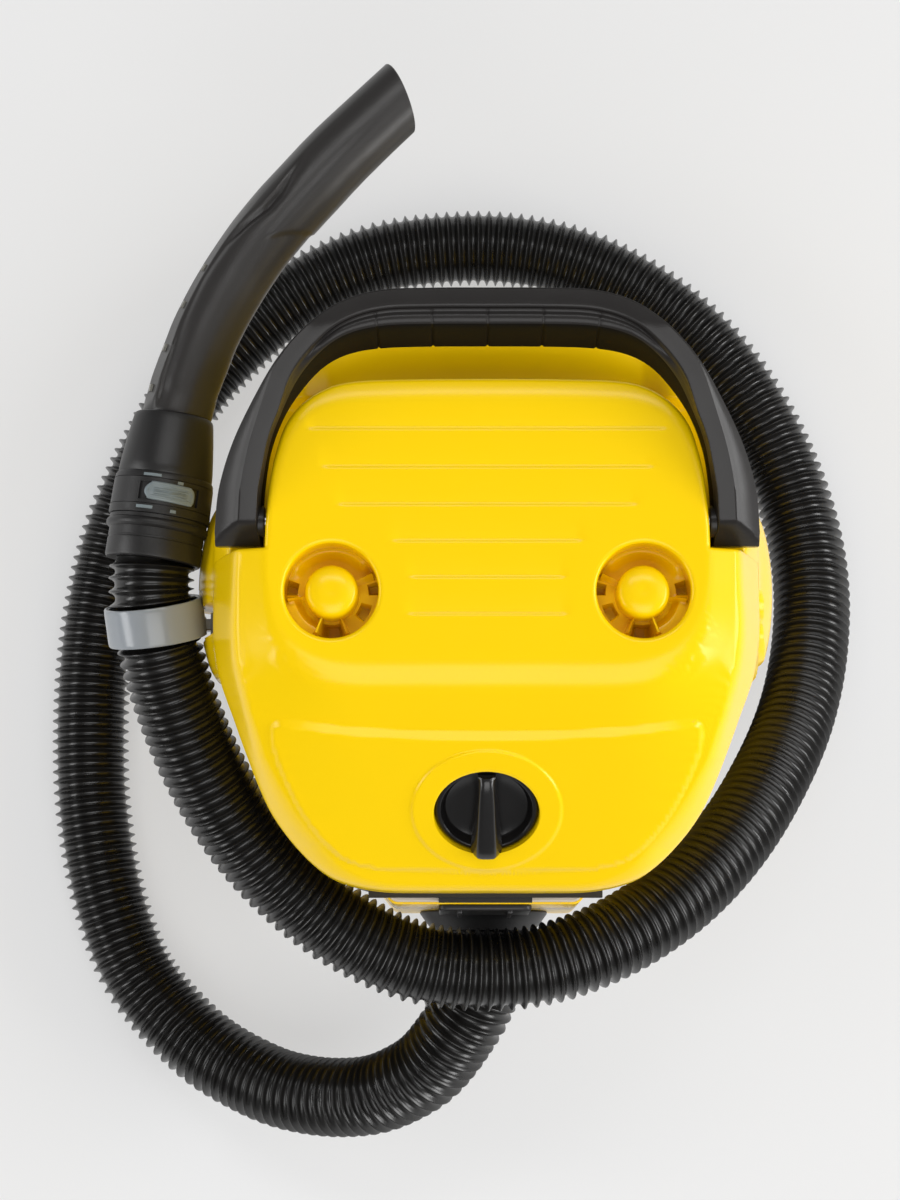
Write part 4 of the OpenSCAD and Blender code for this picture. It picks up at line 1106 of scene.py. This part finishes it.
def make_knob():
    disc = revolve("disc", [(0.0, -5.6), (12, -5.6), (20.2, -5.5), (20.7, -5.2), (21.1, -4.6), (22.6, -1.6), (22.9, -1.15), (23.4, -0.9), (24.7, -0.9), (25.2, -1.15), (25.5, -1.7),
        (25.6, -2.4), (25.6, -9.6), (25.1, -10.2), (24.2, -10.4), (5.0, -10.4), (5.0, -26.0), (0, -26.0)], KNOBM, origin=K0, axis=KB[:, 2], n=112, sharp=40)
    # the finger bar, narrow at the back and wider over the front edge
    ys = [22.4, 22.1, 21.4, 19.5, 15, 8, 0, -8, -15, -20, -23.4, -24.9, -25.6, -25.8]
    rings = []
    for y in ys:
        hw = np.interp(-y, [-22.4, -8, 10, 23, 25.8], [4.4, 5.7, 7.0, 8.0, 6.9])
        top = np.interp(-y, [-22.4, -20.5, -8, 12, 22, 25.2, 25.8], [3.0, 4.6, 6.3, 7.9, 8.0, 6.6, 5.4])
        low = -5.8 if y > -22 else -5.8 + (-(y + 22)) * 0.5
        tw = hw * 0.52
        rings.append(on_panel([(hw, y, low), (hw, y, 0.4), (hw * 0.97, y, 1.6), (tw + 1.1, y, top - 1.5), (tw + 0.5, y, top - 0.55), (tw - 0.5, y, top - 0.1), (tw * 0.4, y, top + 0.12),
            (-tw * 0.4, y, top + 0.12), (-tw + 0.5, y, top - 0.1), (-tw - 0.5, y, top - 0.55), (-tw - 1.1, y, top - 1.5), (-hw * 0.97, y, 1.6), (-hw, y, 0.4), (-hw, y, low)]))
    bar = loft("bar", rings, KNOBM, sharp=34)
    return join("switch_knob_shape", [disc, bar])


knob = make_knob()
finish_piece(knob, "knob", ["switch_knob"])

# ---------------------------------------------------------------- cuffs, regulator collar and slider on the hose end
G0 = np.array([-170.6, 32.0, 266.0])
GX = np.array([math.cos(math.radians(8)), -math.sin(math.radians(8)), 0])
GB = np.stack([GX, np.cross(end_dir, GX), end_dir], 1)
GT = np.array([0, 0, 1.0])


def on_grip(ang, r, s):
    """Point at an angle from the top toward +x, a radius and a distance along the hose end."""
    ang, r, s = np.broadcast_arrays(np.asarray(ang, float), np.asarray(r, float), np.asarray(s, float))
    return G0 + s[..., None] * end_dir + (r * np.sin(ang))[..., None] * GX + (r * np.cos(ang))[..., None] * GT


end_cuff = revolve("hose_end_cuff_shape", [(16.5, 1.0), (20.2, 0.1), (23.6, 0.15), (24.3, 0.6), (24.55, 1.5), (24.5, 9.6), (24.15, 10.0), (24.1, 10.8), (24.4, 11.2), (24.35, 15.2), (25.6, 15.9), (26.2, 16.6),
    (26.35, 17.6), (26.2, 18.7), (25.7, 19.5), (25.0, 20.1), (24.9, 21.9), (19.5, 21.9), (19.5, 35.6), (19.1, 36), (16.9, 36), (16.5, 35.6)], BLACK, origin=G0, axis=end_dir, n=112, sharp=30, close=True)
finish_piece(end_cuff, "root", ["hose_end_cuff"])

collar_prof = [(17.6, 36.2), (19.55, 36.0), (19.55, 22.3), (24.6, 22.1), (25.5, 22.3), (25.9, 22.9), (25.85, 26.6), (24.65, 26.9), (24.65, 40.2), (25.3, 40.5), (25.05, 42.6), (24.75, 43.3), (24.1, 43.5),
    (23.9, 44.0), (24.15, 44.6), (23.9, 49), (23.1, 56), (22.1, 64), (20.9, 72), (20.5, 74.2), (20.0, 75.5), (19.3, 76.0), (17.6, 76.0)]


def make_collar():
    body = revolve("collar", collar_prof, BLACK, origin=G0, axis=end_dir, n=128, sharp=28, close=True)
    # sleeve round the slider track, open where the slider shows
    parts = [body]
    a0, a1 = math.radians(14 - 36.5), math.radians(14 + 36.5)
    seg = 96
    angs = np.linspace(a1, a0 + 2 * math.pi, seg + 1)
    prof = [(24.9, 26.9), (25.75, 26.9), (25.6, 33), (25.4, 40.2), (24.9, 40.2)]
    rings = [np.array([on_grip(a, r, s) for r, s in prof]) for a in angs]
    parts.append(loft("sleeve", rings, BLACK, sharp=28))
    for v0, v1 in ((26.9, 28.6), (37.9, 40.2)):
        prof = [(24.9, v0), (25.72 - (v0 - 26.9) * 0.025, v0), (25.72 - (v1 - 26.9) * 0.025, v1), (24.9, v1)]
        rings = [np.array([on_grip(a, r, s) for r, s in prof]) for a in np.linspace(a0 - 0.01, a1 + 0.01, 36)]
        parts.append(loft("lip", rings, BLACK, sharp=28))
    # small pale marks above and below the slider
    for u0, u1, v0, v1 in ((-9.0, 0.6, 40.9, 42.3), (9.6, 12.6, 38.3, 39.8), (-10.4, -1.6, 24.0, 25.6), (7.6, 10.6, 23.3, 24.9)):
        us = np.linspace(u0, u1, 8)
        rr = 25.35 if v0 > 30 else 26.0
        if 35 < v0 < 40:
            rr = 25.55
        rings = [np.array([on_grip(u / 26, r, s) for r, s in ((rr - 0.6, v0), (rr + 0.1, v0), (rr + 0.1, v1), (rr - 0.6, v1))]) for u in us]
        parts.append(loft("mark", rings, SLIDEM, sharp=28))
    return join("regulator_collar_shape", parts)


collar = make_collar()
finish_piece(collar, "root", ["regulator_collar"])


def make_slider():
    c = math.radians(14)
    half = []
    U, V = 13.6, 5.0
    plan = [(-U, -0.4), (-U + 0.5, 1.6), (-U + 1.8, 3.2), (-U + 3.4, 4.3), (-U + 5.2, V), (U - 4.6, V - 0.5), (U - 2.6, V - 0.9), (U - 1.2, V - 1.8), (U - 0.35, V - 3.3), (U, 0.2), (U - 0.1, -2.2), (U - 0.6, -3.9),
        (U - 1.7, -V + 0.3), (U - 3.6, -V), (-U + 4.0, -V + 0.5), (-U + 2.0, -3.6), (-U + 0.6, -2.2)]
    plan = np.array(plan, float)[::-1]
    plan = four_point(plan, 1)

    def ring(ins, r):
        q = inset_ring(plan, ins)
        return on_grip(c + q[:, 0] / 26.4, r, 33.3 + q[:, 1])
    rings = [ring(0.0, 24.95), ring(0.0, 26.3), ring(0.15, 26.7), ring(0.5, 27.0), ring(1.0, 27.12), ring(1.9, 27.12), ring(2.1, 27.05), ring(2.25, 26.85)]
    n = len(plan)
    V3 = np.concatenate(rings)
    F = grid_faces(len(rings), n)
    # strip in the middle as a fan over short cross ribs
    base = (len(rings) - 1) * n
    cx = on_grip(c, 26.85, 33.3)
    V3 = np.concatenate([V3, [cx]])
    F += [(base + k, base + (k + 1) % n, len(V3) - 1) for k in range(n)]
    F.append(tuple(range(n - 1, -1, -1)))
    body = build("slider", V3, F, SLIDEM, 30)
    ribs = []
    for v in (-0.9, 1.0):
        us = np.linspace(-8.6, 8.8, 12)
        ribs.append(loft("rib", [np.array([on_grip(c + u / 26.4, r, 33.3 + v + dv) for r, dv in ((26.6, -0.45), (27.1, -0.3), (27.1, 0.3), (26.6, 0.45))]) for u in us], SLIDEM, sharp=30))
    return join("air_slider_shape", [body] + ribs)


slider = make_slider()
finish_piece(slider, "slider", ["air_slider"])

# ---------------------------------------------------------------- grip tube
GRIP_LINE = [tuple(G0 + end_dir * 58), tuple(G0 + end_dir * 68), tuple(G0 + end_dir * 77), (-156.9, 125, 267), (-152, 138, 267.6), (-147, 150, 268), (-140.4, 162, 268.3), (-133.6, 173, 268.7), (-126.2, 184, 269), (-118.4, 194.3, 269.5), (-110.2, 204.2, 270),
    (-101, 214.6, 270.5), (-91.6, 224.6, 271), (-72.8, 244.2, 272), (-55.8, 261.6, 273), (-42.4, 275.4, 273.5)]


MARKM = plastic("grip_mark", srgb(118, 116, 108), vary=0.05, rough=0.4, grain=0.1)


def make_grip():
    P, L = cr_path(GRIP_LINE, 1.6)
    T, U, W = frames_along(P, up=(0, 0, 1), t0=end_dir)
    s = np.linspace(0, L, len(P))
    n = 160
    a = np.arange(n) * 2 * math.pi / n   # 0 top, growing toward the outer (left) side of the bend
    rings = []
    mouth = L - 9.0

    def centre(k):
        left = -unit(np.cross(T[k], U[k]))
        return P[k] - left * np.interp(s[k], [0, 12, 19, 28, 40, 56, 82, 104, 120, 140, 160, 172, 183, 200, L], [0, 0, 1.3, 2.6, 3.3, 3.0, 1.5, 0.4, -0.6, -1.35, -1.7, -2.0, -1.9, -1.2, 0])
    for k in range(len(P)):
        side = -unit(np.cross(T[k], U[k]))  # points to the left, the outer side of the bend
        at = s[k]
        r = np.interp(at, [0, 17.9, 18.1, 19.5, 30, 100, 140, 190, L], [17.4, 17.4, 17.6, 17.9, 17.3, 17.5, 17.9, 17.9, 17.5])
        R = np.full(n, r)
        deg = np.degrees(a)
        deg = np.where(deg > 180, deg - 360, deg)
        # flat strip along the outer side, meeting the round body in a crease
        body_on = float(smooth01((at - 19) / 7))
        crease = np.interp(at, [0, 26, 47, 68, 88, 107, 122, 135, 144, 156, 168], [31, 31, 37, 44, 49, 46, 37, 23, 22, 30, 34])
        strip = body_on * np.interp(at, [0, 96, 112, 150, L], [1, 1, 0.75, 0.2, 0])
        flat = (r - 0.35) / np.maximum(np.cos(np.radians(deg - 66)), 0.5) - r
        on = smooth01((deg - crease - 2) / 7) * smooth01((103 - deg) / 14)
        R = R + strip * on * np.clip(flat, -0.5, 0.9)
        depth = np.interp(at, [0, 20, 30, 96, 108, 120, 134, 146, 156, 168, L], [0, 0, 0.6, 0.65, 1.0, 2.3, 2.8, 2.5, 1.0, 0, 0])
        dd = deg - crease
        R = R - depth * np.where(dd > 0, np.exp(-(dd / 4.4) ** 2), np.exp(-(dd / 10.0) ** 2))
        # shoulder on the inner side where the plain tube starts
        edge = np.interp(deg, [-95, -60, -35, -13, 0], [140, 137, 131, 122, 118])
        sh = 1.0 * smooth01((at - edge) / 2.6) * smooth01((L - 6 - at) / 60)
        R = R + sh * smooth01((-4 - deg) / 16) * smooth01((deg + 165) / 30)
        c = centre(k)[None] + R[:, None] * (np.cos(a)[:, None] * U[k] + np.sin(a)[:, None] * side)
        if at > mouth - 40:
            f = smooth01((at - (mouth - 40)) / 49.0)
            c = c + (f * (-2.8 + 6.8 * np.sin(a) * 1.0 + 3.2 * np.cos(a)))[:, None] * T[k]
        rings.append(c)
    # round the rim and come back inside
    side = -unit(np.cross(T[-1], U[-1]))
    base_shift = (-2.8 + 6.8 * np.sin(a) + 3.2 * np.cos(a))[:, None] * T[-1]
    for r, d in ((17.2, 0.35), (16.8, 0.5), (16.2, 0.4), (15.8, -0.2), (15.6, -3), (14.9, -30)):
        c = P[-1][None] + r * (np.cos(a)[:, None] * U[-1] + np.sin(a)[:, None] * side)
        rings.append(c + base_shift * (1 if d > -4 else 0.2) + d * T[-1])
    for k in range(len(P) - 22, 0, -6):
        side = -unit(np.cross(T[k], U[k]))
        rings.append(centre(k)[None] + 14.6 * (np.cos(a)[:, None] * U[k] + np.sin(a)[:, None] * side))
    side = -unit(np.cross(T[0], U[0]))
    rings.append(P[0][None] + 14.6 * (np.cos(a)[:, None] * U[0] + np.sin(a)[:, None] * side))
    tube = loft("tube", rings, GRIPM, sharp=34, wrap=True)
    # short raised marks along the outer strip
    marks = []
    for at in (31.0, 50.0, 72.0, 93.0):
        k = int(round(at / L * (len(P) - 1)))
        side = -unit(np.cross(T[k], U[k]))
        for da in (0,):
            ctr = centre(k)
            pts = []
            for u in np.linspace(-1.9, 1.9, 6):
                pts.append(np.array([ctr + (u + du) * T[k] + rr * (math.cos(th) * U[k] + math.sin(th) * side) for rr, th, du in
                    ((16.4, math.radians(66), 0), (18.2, math.radians(67), 0), (18.1, math.radians(84), 0), (16.4, math.radians(85), 0))]))
            marks.append(loft("mark", pts, MARKM, sharp=30))
    return join("grip_tube_shape", [tube] + marks)


grip = make_grip()
finish_piece(grip, "root", ["grip_tube"])

# ---------------------------------------------------------------- hose clip
def make_clip():
    C = np.array([-169.0, 2.0, 261.8])
    R1 = np.array(Matrix.Rotation(math.radians(7.5), 3, "Z") @ Matrix.Rotation(math.radians(-75.5), 3, "X"))
    band = revolve("band", [(23.0, -9.2), (23.6, -9.9), (24.2, -10.0), (24.9, -9.8), (25.25, -9.2), (25.4, -7.6), (25.4, 7.6), (25.25, 9.2), (24.9, 9.8), (24.2, 10.0), (23.6, 9.9), (23.0, 9.2)],
        CLIPM, origin=C, axis=R1[:, 2], xdir=R1[:, 0], n=128, sharp=40, close=True)
    neck = prism("neck", slab4(-147.6, -140.4, -1.8, 3.8), 247.2, 258.8, CLIPM, bevel=0.7)
    bar = prism("bar", slab4(-140.9, -137.1, -5, 7), 244, 260, CLIPM, bevel=0.8)
    rib = prism("rib", slab4(-145.6, -143.6, -3.2, 5.2), 245.6, 259.6, CLIPM, bevel=0.5)
    return join("hose_clip_shape", [band, neck, bar, rib])


clip = make_clip()
finish_piece(clip, "root", ["hose_clip"])

# ---------------------------------------------------------------- tub, base ring, seal
def tub_ring(ins, z):
    q = inset_ring(OUT_C, ins)
    return np.c_[q, np.full(len(q), float(z))] + TUB


def plan_loft(name, plan, steps, material, sharp=30.0):
    """Upright solid over an outline, its edge following (inset, height) steps."""
    plan = np.array(plan, float)
    return loft(name, [np.c_[inset_ring(plan, i), np.full(len(plan), float(z))] + TUB for i, z in steps], material, sharp=sharp)


def rounded(points, r, n=5):
    """Outline with its corners turned into short arcs."""
    P = np.array(points, float)
    out = []
    for i in range(len(P)):
        a, b, c = P[i - 1], P[i], P[(i + 1) % len(P)]
        u, v = unit(a - b), unit(c - b)
        ang = math.acos(float(np.clip(u @ v, -1, 1)))
        rr = r
        d = min(rr / math.tan(ang / 2), 0.45 * np.hypot(*(a - b)), 0.45 * np.hypot(*(c - b)))
        p0, p1 = b + u * d, b + v * d
        for t in np.linspace(0, 1, n):
            out.append((1 - t) ** 2 * p0 + 2 * t * (1 - t) * b + t * t * p1)
    return np.array(out)


def make_container():
    steps = [(30, 60.0), (26, 60.1), (24.7, 60.7), (24.1, 61.9), (24, 65.2), (23.2, 66.0), (18.4, 66.2), (16.8, 66.9), (16.1, 68.4), (16, 71), (16, 106), (16, 141), (15.6, 143.8), (14.2, 146.4), (12.4, 148.6), (11.4, 150.8), (11, 153.6),
        (11, 190), (11, 222.2), (10.7, 223.5), (9.6, 224.1), (4.6, 224.2), (3.5, 224.6), (3.05, 225.4), (3, 226.4), (3, 229), (3.3, 229.7), (4.0, 230), (13.3, 230), (13.9, 229.6), (14, 229), (14, 154), (14.8, 150.6), (18, 147), (19, 143),
        (19, 72), (20.2, 69.6), (26, 68), (27, 66), (27, 63.1)]
    shell = loft("tub", [tub_ring(i, z) for i, z in steps], TUBYEL, sharp=30)
    nose_plan = rounded([(-56, -126.5), (-56, -137), (-48, -147), (48, -147), (56, -137), (56, -126.5)], 6)
    nose = plan_loft("nose", nose_plan, [(6.5, 92.1), (3.2, 92.9), (1.2, 94.6), (0.2, 97.5), (0, 101), (0, 160), (0, 229.1), (0.7, 230)], TUBYEL)
    return join("container_shape", [shell, nose])


container = make_container()
finish_piece(container, "root", ["container"])


def make_base():
    steps = [(30, 57), (15, 57), (15, 50.6), (14.6, 50.1), (13.4, 50), (12.5, 50.3), (12.05, 51.2), (12, 59.2), (11.6, 59.9), (7.4, 60), (6.4, 60.4), (6.0, 61.4), (6, 70.4), (6.4, 71.5), (7.4, 72), (11.2, 72.1), (11.9, 72.6), (12, 73.6),
        (12, 80.6), (12.5, 81.7), (13.4, 82), (15.4, 82), (15.95, 81.6), (16, 81), (16, 66.05), (23.9, 66), (24, 65.6), (24, 60.05), (30, 60)]
    parts = [loft("ring", [tub_ring(i, z) for i, z in steps], BLACK, sharp=30)]
    for sx in (-1, 1):
        for sy in (-1, 1):
            parts.append(revolve("pod", [(5.06, 46.4), (5.5, 46), (11.9, 46), (12.7, 46.3), (13, 47.1), (13, 56.0), (14.2, 57.2), (14.2, 58.4), (5.06, 58.4)], BLACK, origin=np.array([sx * 86, sy * 88, 0]) + TUB, n=64, sharp=30, close=True))
        for yy in (-60, 70):
            parts.append(revolve("boss", [(1.6, 54.5), (3.6, 54.5), (3.6, 52.3), (3.9, 52), (6.5, 52), (7, 52.5), (7, 56.2), (8, 57.2), (8, 58.2), (1.6, 58.2)], BLACK, origin=np.array([sx * 70, yy, 0]) + TUB, n=40, sharp=30, close=True))
    # stiffening ribs under the floor plate
    for yy in (-36, 4, 44):
        parts.append(prism("rib", slab4(-112, 112, yy - 1, yy + 1), 52.6, 57.6, BLACK, bevel=0.4, frame_m=mat4(None, TUB)))
    for xx in (-40, 0, 40):
        parts.append(prism("rib", slab4(xx - 1, xx + 1, -112, 122), 53.4, 57.6, BLACK, bevel=0.4, frame_m=mat4(None, TUB)))
    return join("base_ring_shape", parts)


base_piece = make_base()
finish_piece(base_piece, "root", ["base_ring"])


def make_seal():
    # the pale ring and its nose piece are the seal, and their pale tone also paints the highlight strip along the rim
    # ledge
    ring = loft("seal", [tub_ring(i, z) for i, z in [(14, 230.05), (5.0, 230.05), (4.3, 230.4), (4, 231.2), (4, 232.8), (4.3, 233.6), (5, 233.95), (14, 233.95)]], SEAL_AND_RIM_HIGHLIGHT, wrap=True, sharp=34)
    nose_plan = rounded([(-55, -128), (-55, -136.6), (-47.4, -146), (47.4, -146), (55, -136.6), (55, -128)], 6)
    nose = plan_loft("nose", nose_plan, [(0.8, 230.05), (0.2, 230.5), (0, 231.2), (0, 232.8), (0.3, 233.6), (0.9, 233.95)], SEAL_AND_RIM_HIGHLIGHT)
    return join("rim_seal_shape", [ring, nose])


seal = make_seal()
finish_piece(seal, "root", ["rim_seal"])

# ---------------------------------------------------------------- hose inlet
INLET = np.array([0, -141.0, 128.0])


def make_port():
    cone = revolve("cone", [(22.06, -12), (29.6, -12), (30, -11.6), (30, -0.6), (33.8, -0.1), (34.4, 0.3), (34.5, 1.0), (34.1, 1.9), (31.0, 6.2), (28.3, 9.8), (27.7, 10.7), (26.9, 11), (22.7, 11), (22.1, 10.5)], BLACK,
        origin=INLET, axis=(0, -1, 0), n=112, sharp=30, close=True)
    cover = prism("cover", rounded(slab4(-24, 24, 148.2, 229), 4.5), 0.0, 3.0, BLACK, bevel=0.9, segs=3,
        frame_m=mat4(np.array([[1.0, 0, 0], [0, 0, -1.0], [0, 1.0, 0]]), (0, -141.0, 0)))
    parts = [cone, cover]
    for k in (-1, 1):  # two ribs that stiffen the cover
        parts.append(prism("rib", rounded(slab4(k * 13 - 1.2, k * 13 + 1.2, 160, 224), 1.0), 2.6, 4.6, BLACK, bevel=0.4, frame_m=mat4(np.array([[1.0, 0, 0], [0, 0, -1.0], [0, 1.0, 0]]), (0, -141.0, 0))))
    return join("inlet_port_shape", parts)


port = make_port()
finish_piece(port, "root", ["inlet_port"])

inlet_cuff = revolve("hose_inlet_cuff_shape", [(17.5, -15.6), (17.9, -16), (21.4, -16), (22, -15.4), (22, -0.2), (23.3, 0.0), (23.85, 0.3), (24, 0.9), (24, 4.5), (24.5, 5.0), (24.95, 5.8), (25, 6.4), (25, 9.8), (24.9, 10.5), (24.4, 11.2), (24, 11.6),
    (24, 13.2), (23.8, 13.8), (23.2, 13.95), (17.9, 13.95), (17.5, 13.6)], BLACK, origin=(0, -152, 128), axis=(0, -1, 0), n=112, sharp=30, close=True)
finish_piece(inlet_cuff, "root", ["hose_inlet_cuff"])


# ---------------------------------------------------------------- latches and exhaust grille
def make_latch(side):
    prof = [(144.9, 212.6), (147.3, 203.4), (147.3, 202.4), (146.4, 201.3), (145.2, 200.9), (144.2, 201.6), (139.4, 209.6), (139.2, 212), (139.2, 217.4), (138.6, 217.85), (132, 219.4), (131.3, 220.0), (131.2, 221),
        (131.5, 222.3), (132.4, 222.8), (138.6, 222.8), (139.2, 223.2), (139.2, 242.4)]
    arc = [(141.5 + 3.9 * math.cos(a), 246 + 3.9 * math.sin(a)) for a in np.radians(np.linspace(213, -42, 16))]
    prof = prof + arc + [(144.2, 241.5), (144.2, 218), (144.3, 214.6)]
    P = np.array(prof, float)
    ys = [(14.15, 0.75), (14.0, 0.35), (14.0, 0.0)]
    ins = [(0.0, 0.55), (0.25, 0.18), (0.6, 0.0)]
    rings = []
    cen = P.mean(0)
    nrm = ring_normals(P[::-1])[::-1]
    for y, d in [(14.0, 0.55), (14.2, 0.2), (14.6, 0.0), (37.4, 0.0), (37.8, 0.2), (38.0, 0.55)]:
        q = P - nrm * d
        rings.append(np.c_[q[:, 0] * side, np.full(len(q), y), q[:, 1]] + TUB)
    body = loft("latch", rings, BLACK, sharp=32)
    ribs = []
    for z in (227, 231, 235):
        ribs.append(prism("rib", rounded([(143.9, z - 0.7), (145.0, z - 0.5), (145.0, z + 0.5), (143.9, z + 0.7)], 0.3, 3), 17.5, 34.5, BLACK, bevel=0.2,
            frame_m=mat4(np.array([[side * 1.0, 0, 0], [0, 0, 1.0], [0, 1.0, 0]]), TUB)))
    return join("latch_shape_" + ("right" if side > 0 else "left"), [body] + ribs)


for side, body_name, node_name in ((1, "latch_r", "latch_right"), (-1, "latch_l", "latch_left")):
    finish_piece(make_latch(side), body_name, [node_name])

# ---------------------------------------------------------------- CAD pieces that keep their shape
SUB = {s["node"]: s for s in frame["record"].get("subparts", []) if "node" in s}
NODE_SLOT = {}
for sp in frame["record"].get("subparts", []):
    for key in ("node", "name", "id"):
        if key in sp:
            NODE_SLOT[sp[key]] = sp.get("material_slot") or sp.get("slot") or sp.get("material")
for node_name, obj in NODES.items():
    mat = SLOT_MAT.get(NODE_SLOT.get(node_name), BLACK)
    if obj.data.materials:
        for i in range(len(obj.data.materials)):
            obj.data.materials[i] = mat
    else:
        obj.data.materials.append(mat)

# ---------------------------------------------------------------- studio
floor_me = bpy.data.meshes.new("studio_floor")
floor_me.from_pydata([(-7, -7, 0), (7, -7, 0), (7, 7, 0), (-7, 7, 0)], [], [(0, 1, 2, 3)])
FLOORM, fnt, fb = node_mat("studio_paper")
ftc = fnt.nodes.new("ShaderNodeTexCoord")
fno = fnt.nodes.new("ShaderNodeTexNoise")
fno.inputs["Scale"].default_value = 1.2
fra = fnt.nodes.new("ShaderNodeValToRGB")
fra.color_ramp.elements[0].color = (0.33, 0.33, 0.33, 1)
fra.color_ramp.elements[1].color = (0.35, 0.35, 0.35, 1)
fnt.links.new(ftc.outputs["Object"], fno.inputs["Vector"])
fnt.links.new(fno.outputs["Fac"], fra.inputs["Fac"])
fnt.links.new(fra.outputs["Color"], fb.inputs["Base Color"])
fb.inputs["Roughness"].default_value = 0.9
fb.inputs["Emission Color"].default_value = (1, 1, 1, 1)
fb.inputs["Emission Strength"].default_value = 0.47
fb.inputs["Specular IOR Level"].default_value = 0.1
floor = link("studio_floor", floor_me, FLOORM)

world = bpy.data.worlds.new("studio_world")
scene.world = world
world.use_nodes = True
wn, wl = world.node_tree.nodes, world.node_tree.links
bg = wn["Background"]
wtc = wn.new("ShaderNodeTexCoord")
wsep = wn.new("ShaderNodeSeparateXYZ")
wsum = wn.new("ShaderNodeMath")
wsum.operation = "MULTIPLY_ADD"
wsum.inputs[1].default_value = 0.42
wsum.inputs[2].default_value = 0.5
wramp = wn.new("ShaderNodeValToRGB")
wl.new(wtc.outputs["Generated"], wsep.inputs[0])
wl.new(wsep.outputs["X"], wsum.inputs[0])
wl.new(wsum.outputs[0], wramp.inputs["Fac"])
wramp.color_ramp.elements[0].position = 0.1
wramp.color_ramp.elements[0].color = (0.42, 0.42, 0.42, 1)
wramp.color_ramp.elements[1].position = 0.9
wramp.color_ramp.elements[1].color = (1.0, 1.0, 1.0, 1)
wl.new(wramp.outputs["Color"], bg.inputs["Color"])
bg.inputs["Strength"].default_value = 0.34


def softbox(name, at, aim, size, power, shape="RECTANGLE"):
    li = bpy.data.lights.new(name, "AREA")
    li.shape = shape
    li.size, li.size_y = size
    li.energy = power
    o = bpy.data.objects.new(name, li)
    scene.collection.objects.link(o)
    o.location = at
    o.rotation_euler = (Vector(aim) - Vector(at)).to_track_quat("-Z", "Y").to_euler()
    return o


softbox("key_light", (2.0, 0.45, 2.55), (0, 0, 0.2), (1.7, 1.7), 11)
softbox("front_top_light", (0.1, -1.75, 2.85), (0, -0.05, 0.3), (2.0, 2.1), 37)
softbox("rear_light", (0, 1.1, 2.6), (0, 0.1, 0.36), (1.8, 0.46), 13)
softbox("right_light", (2.3, -0.35, 1.1), (0, 0, 0.3), (2.2, 0.75), 46)
softbox("left_light", (-2.3, -0.35, 1.05), (0, 0, 0.3), (2.2, 0.75), 27)

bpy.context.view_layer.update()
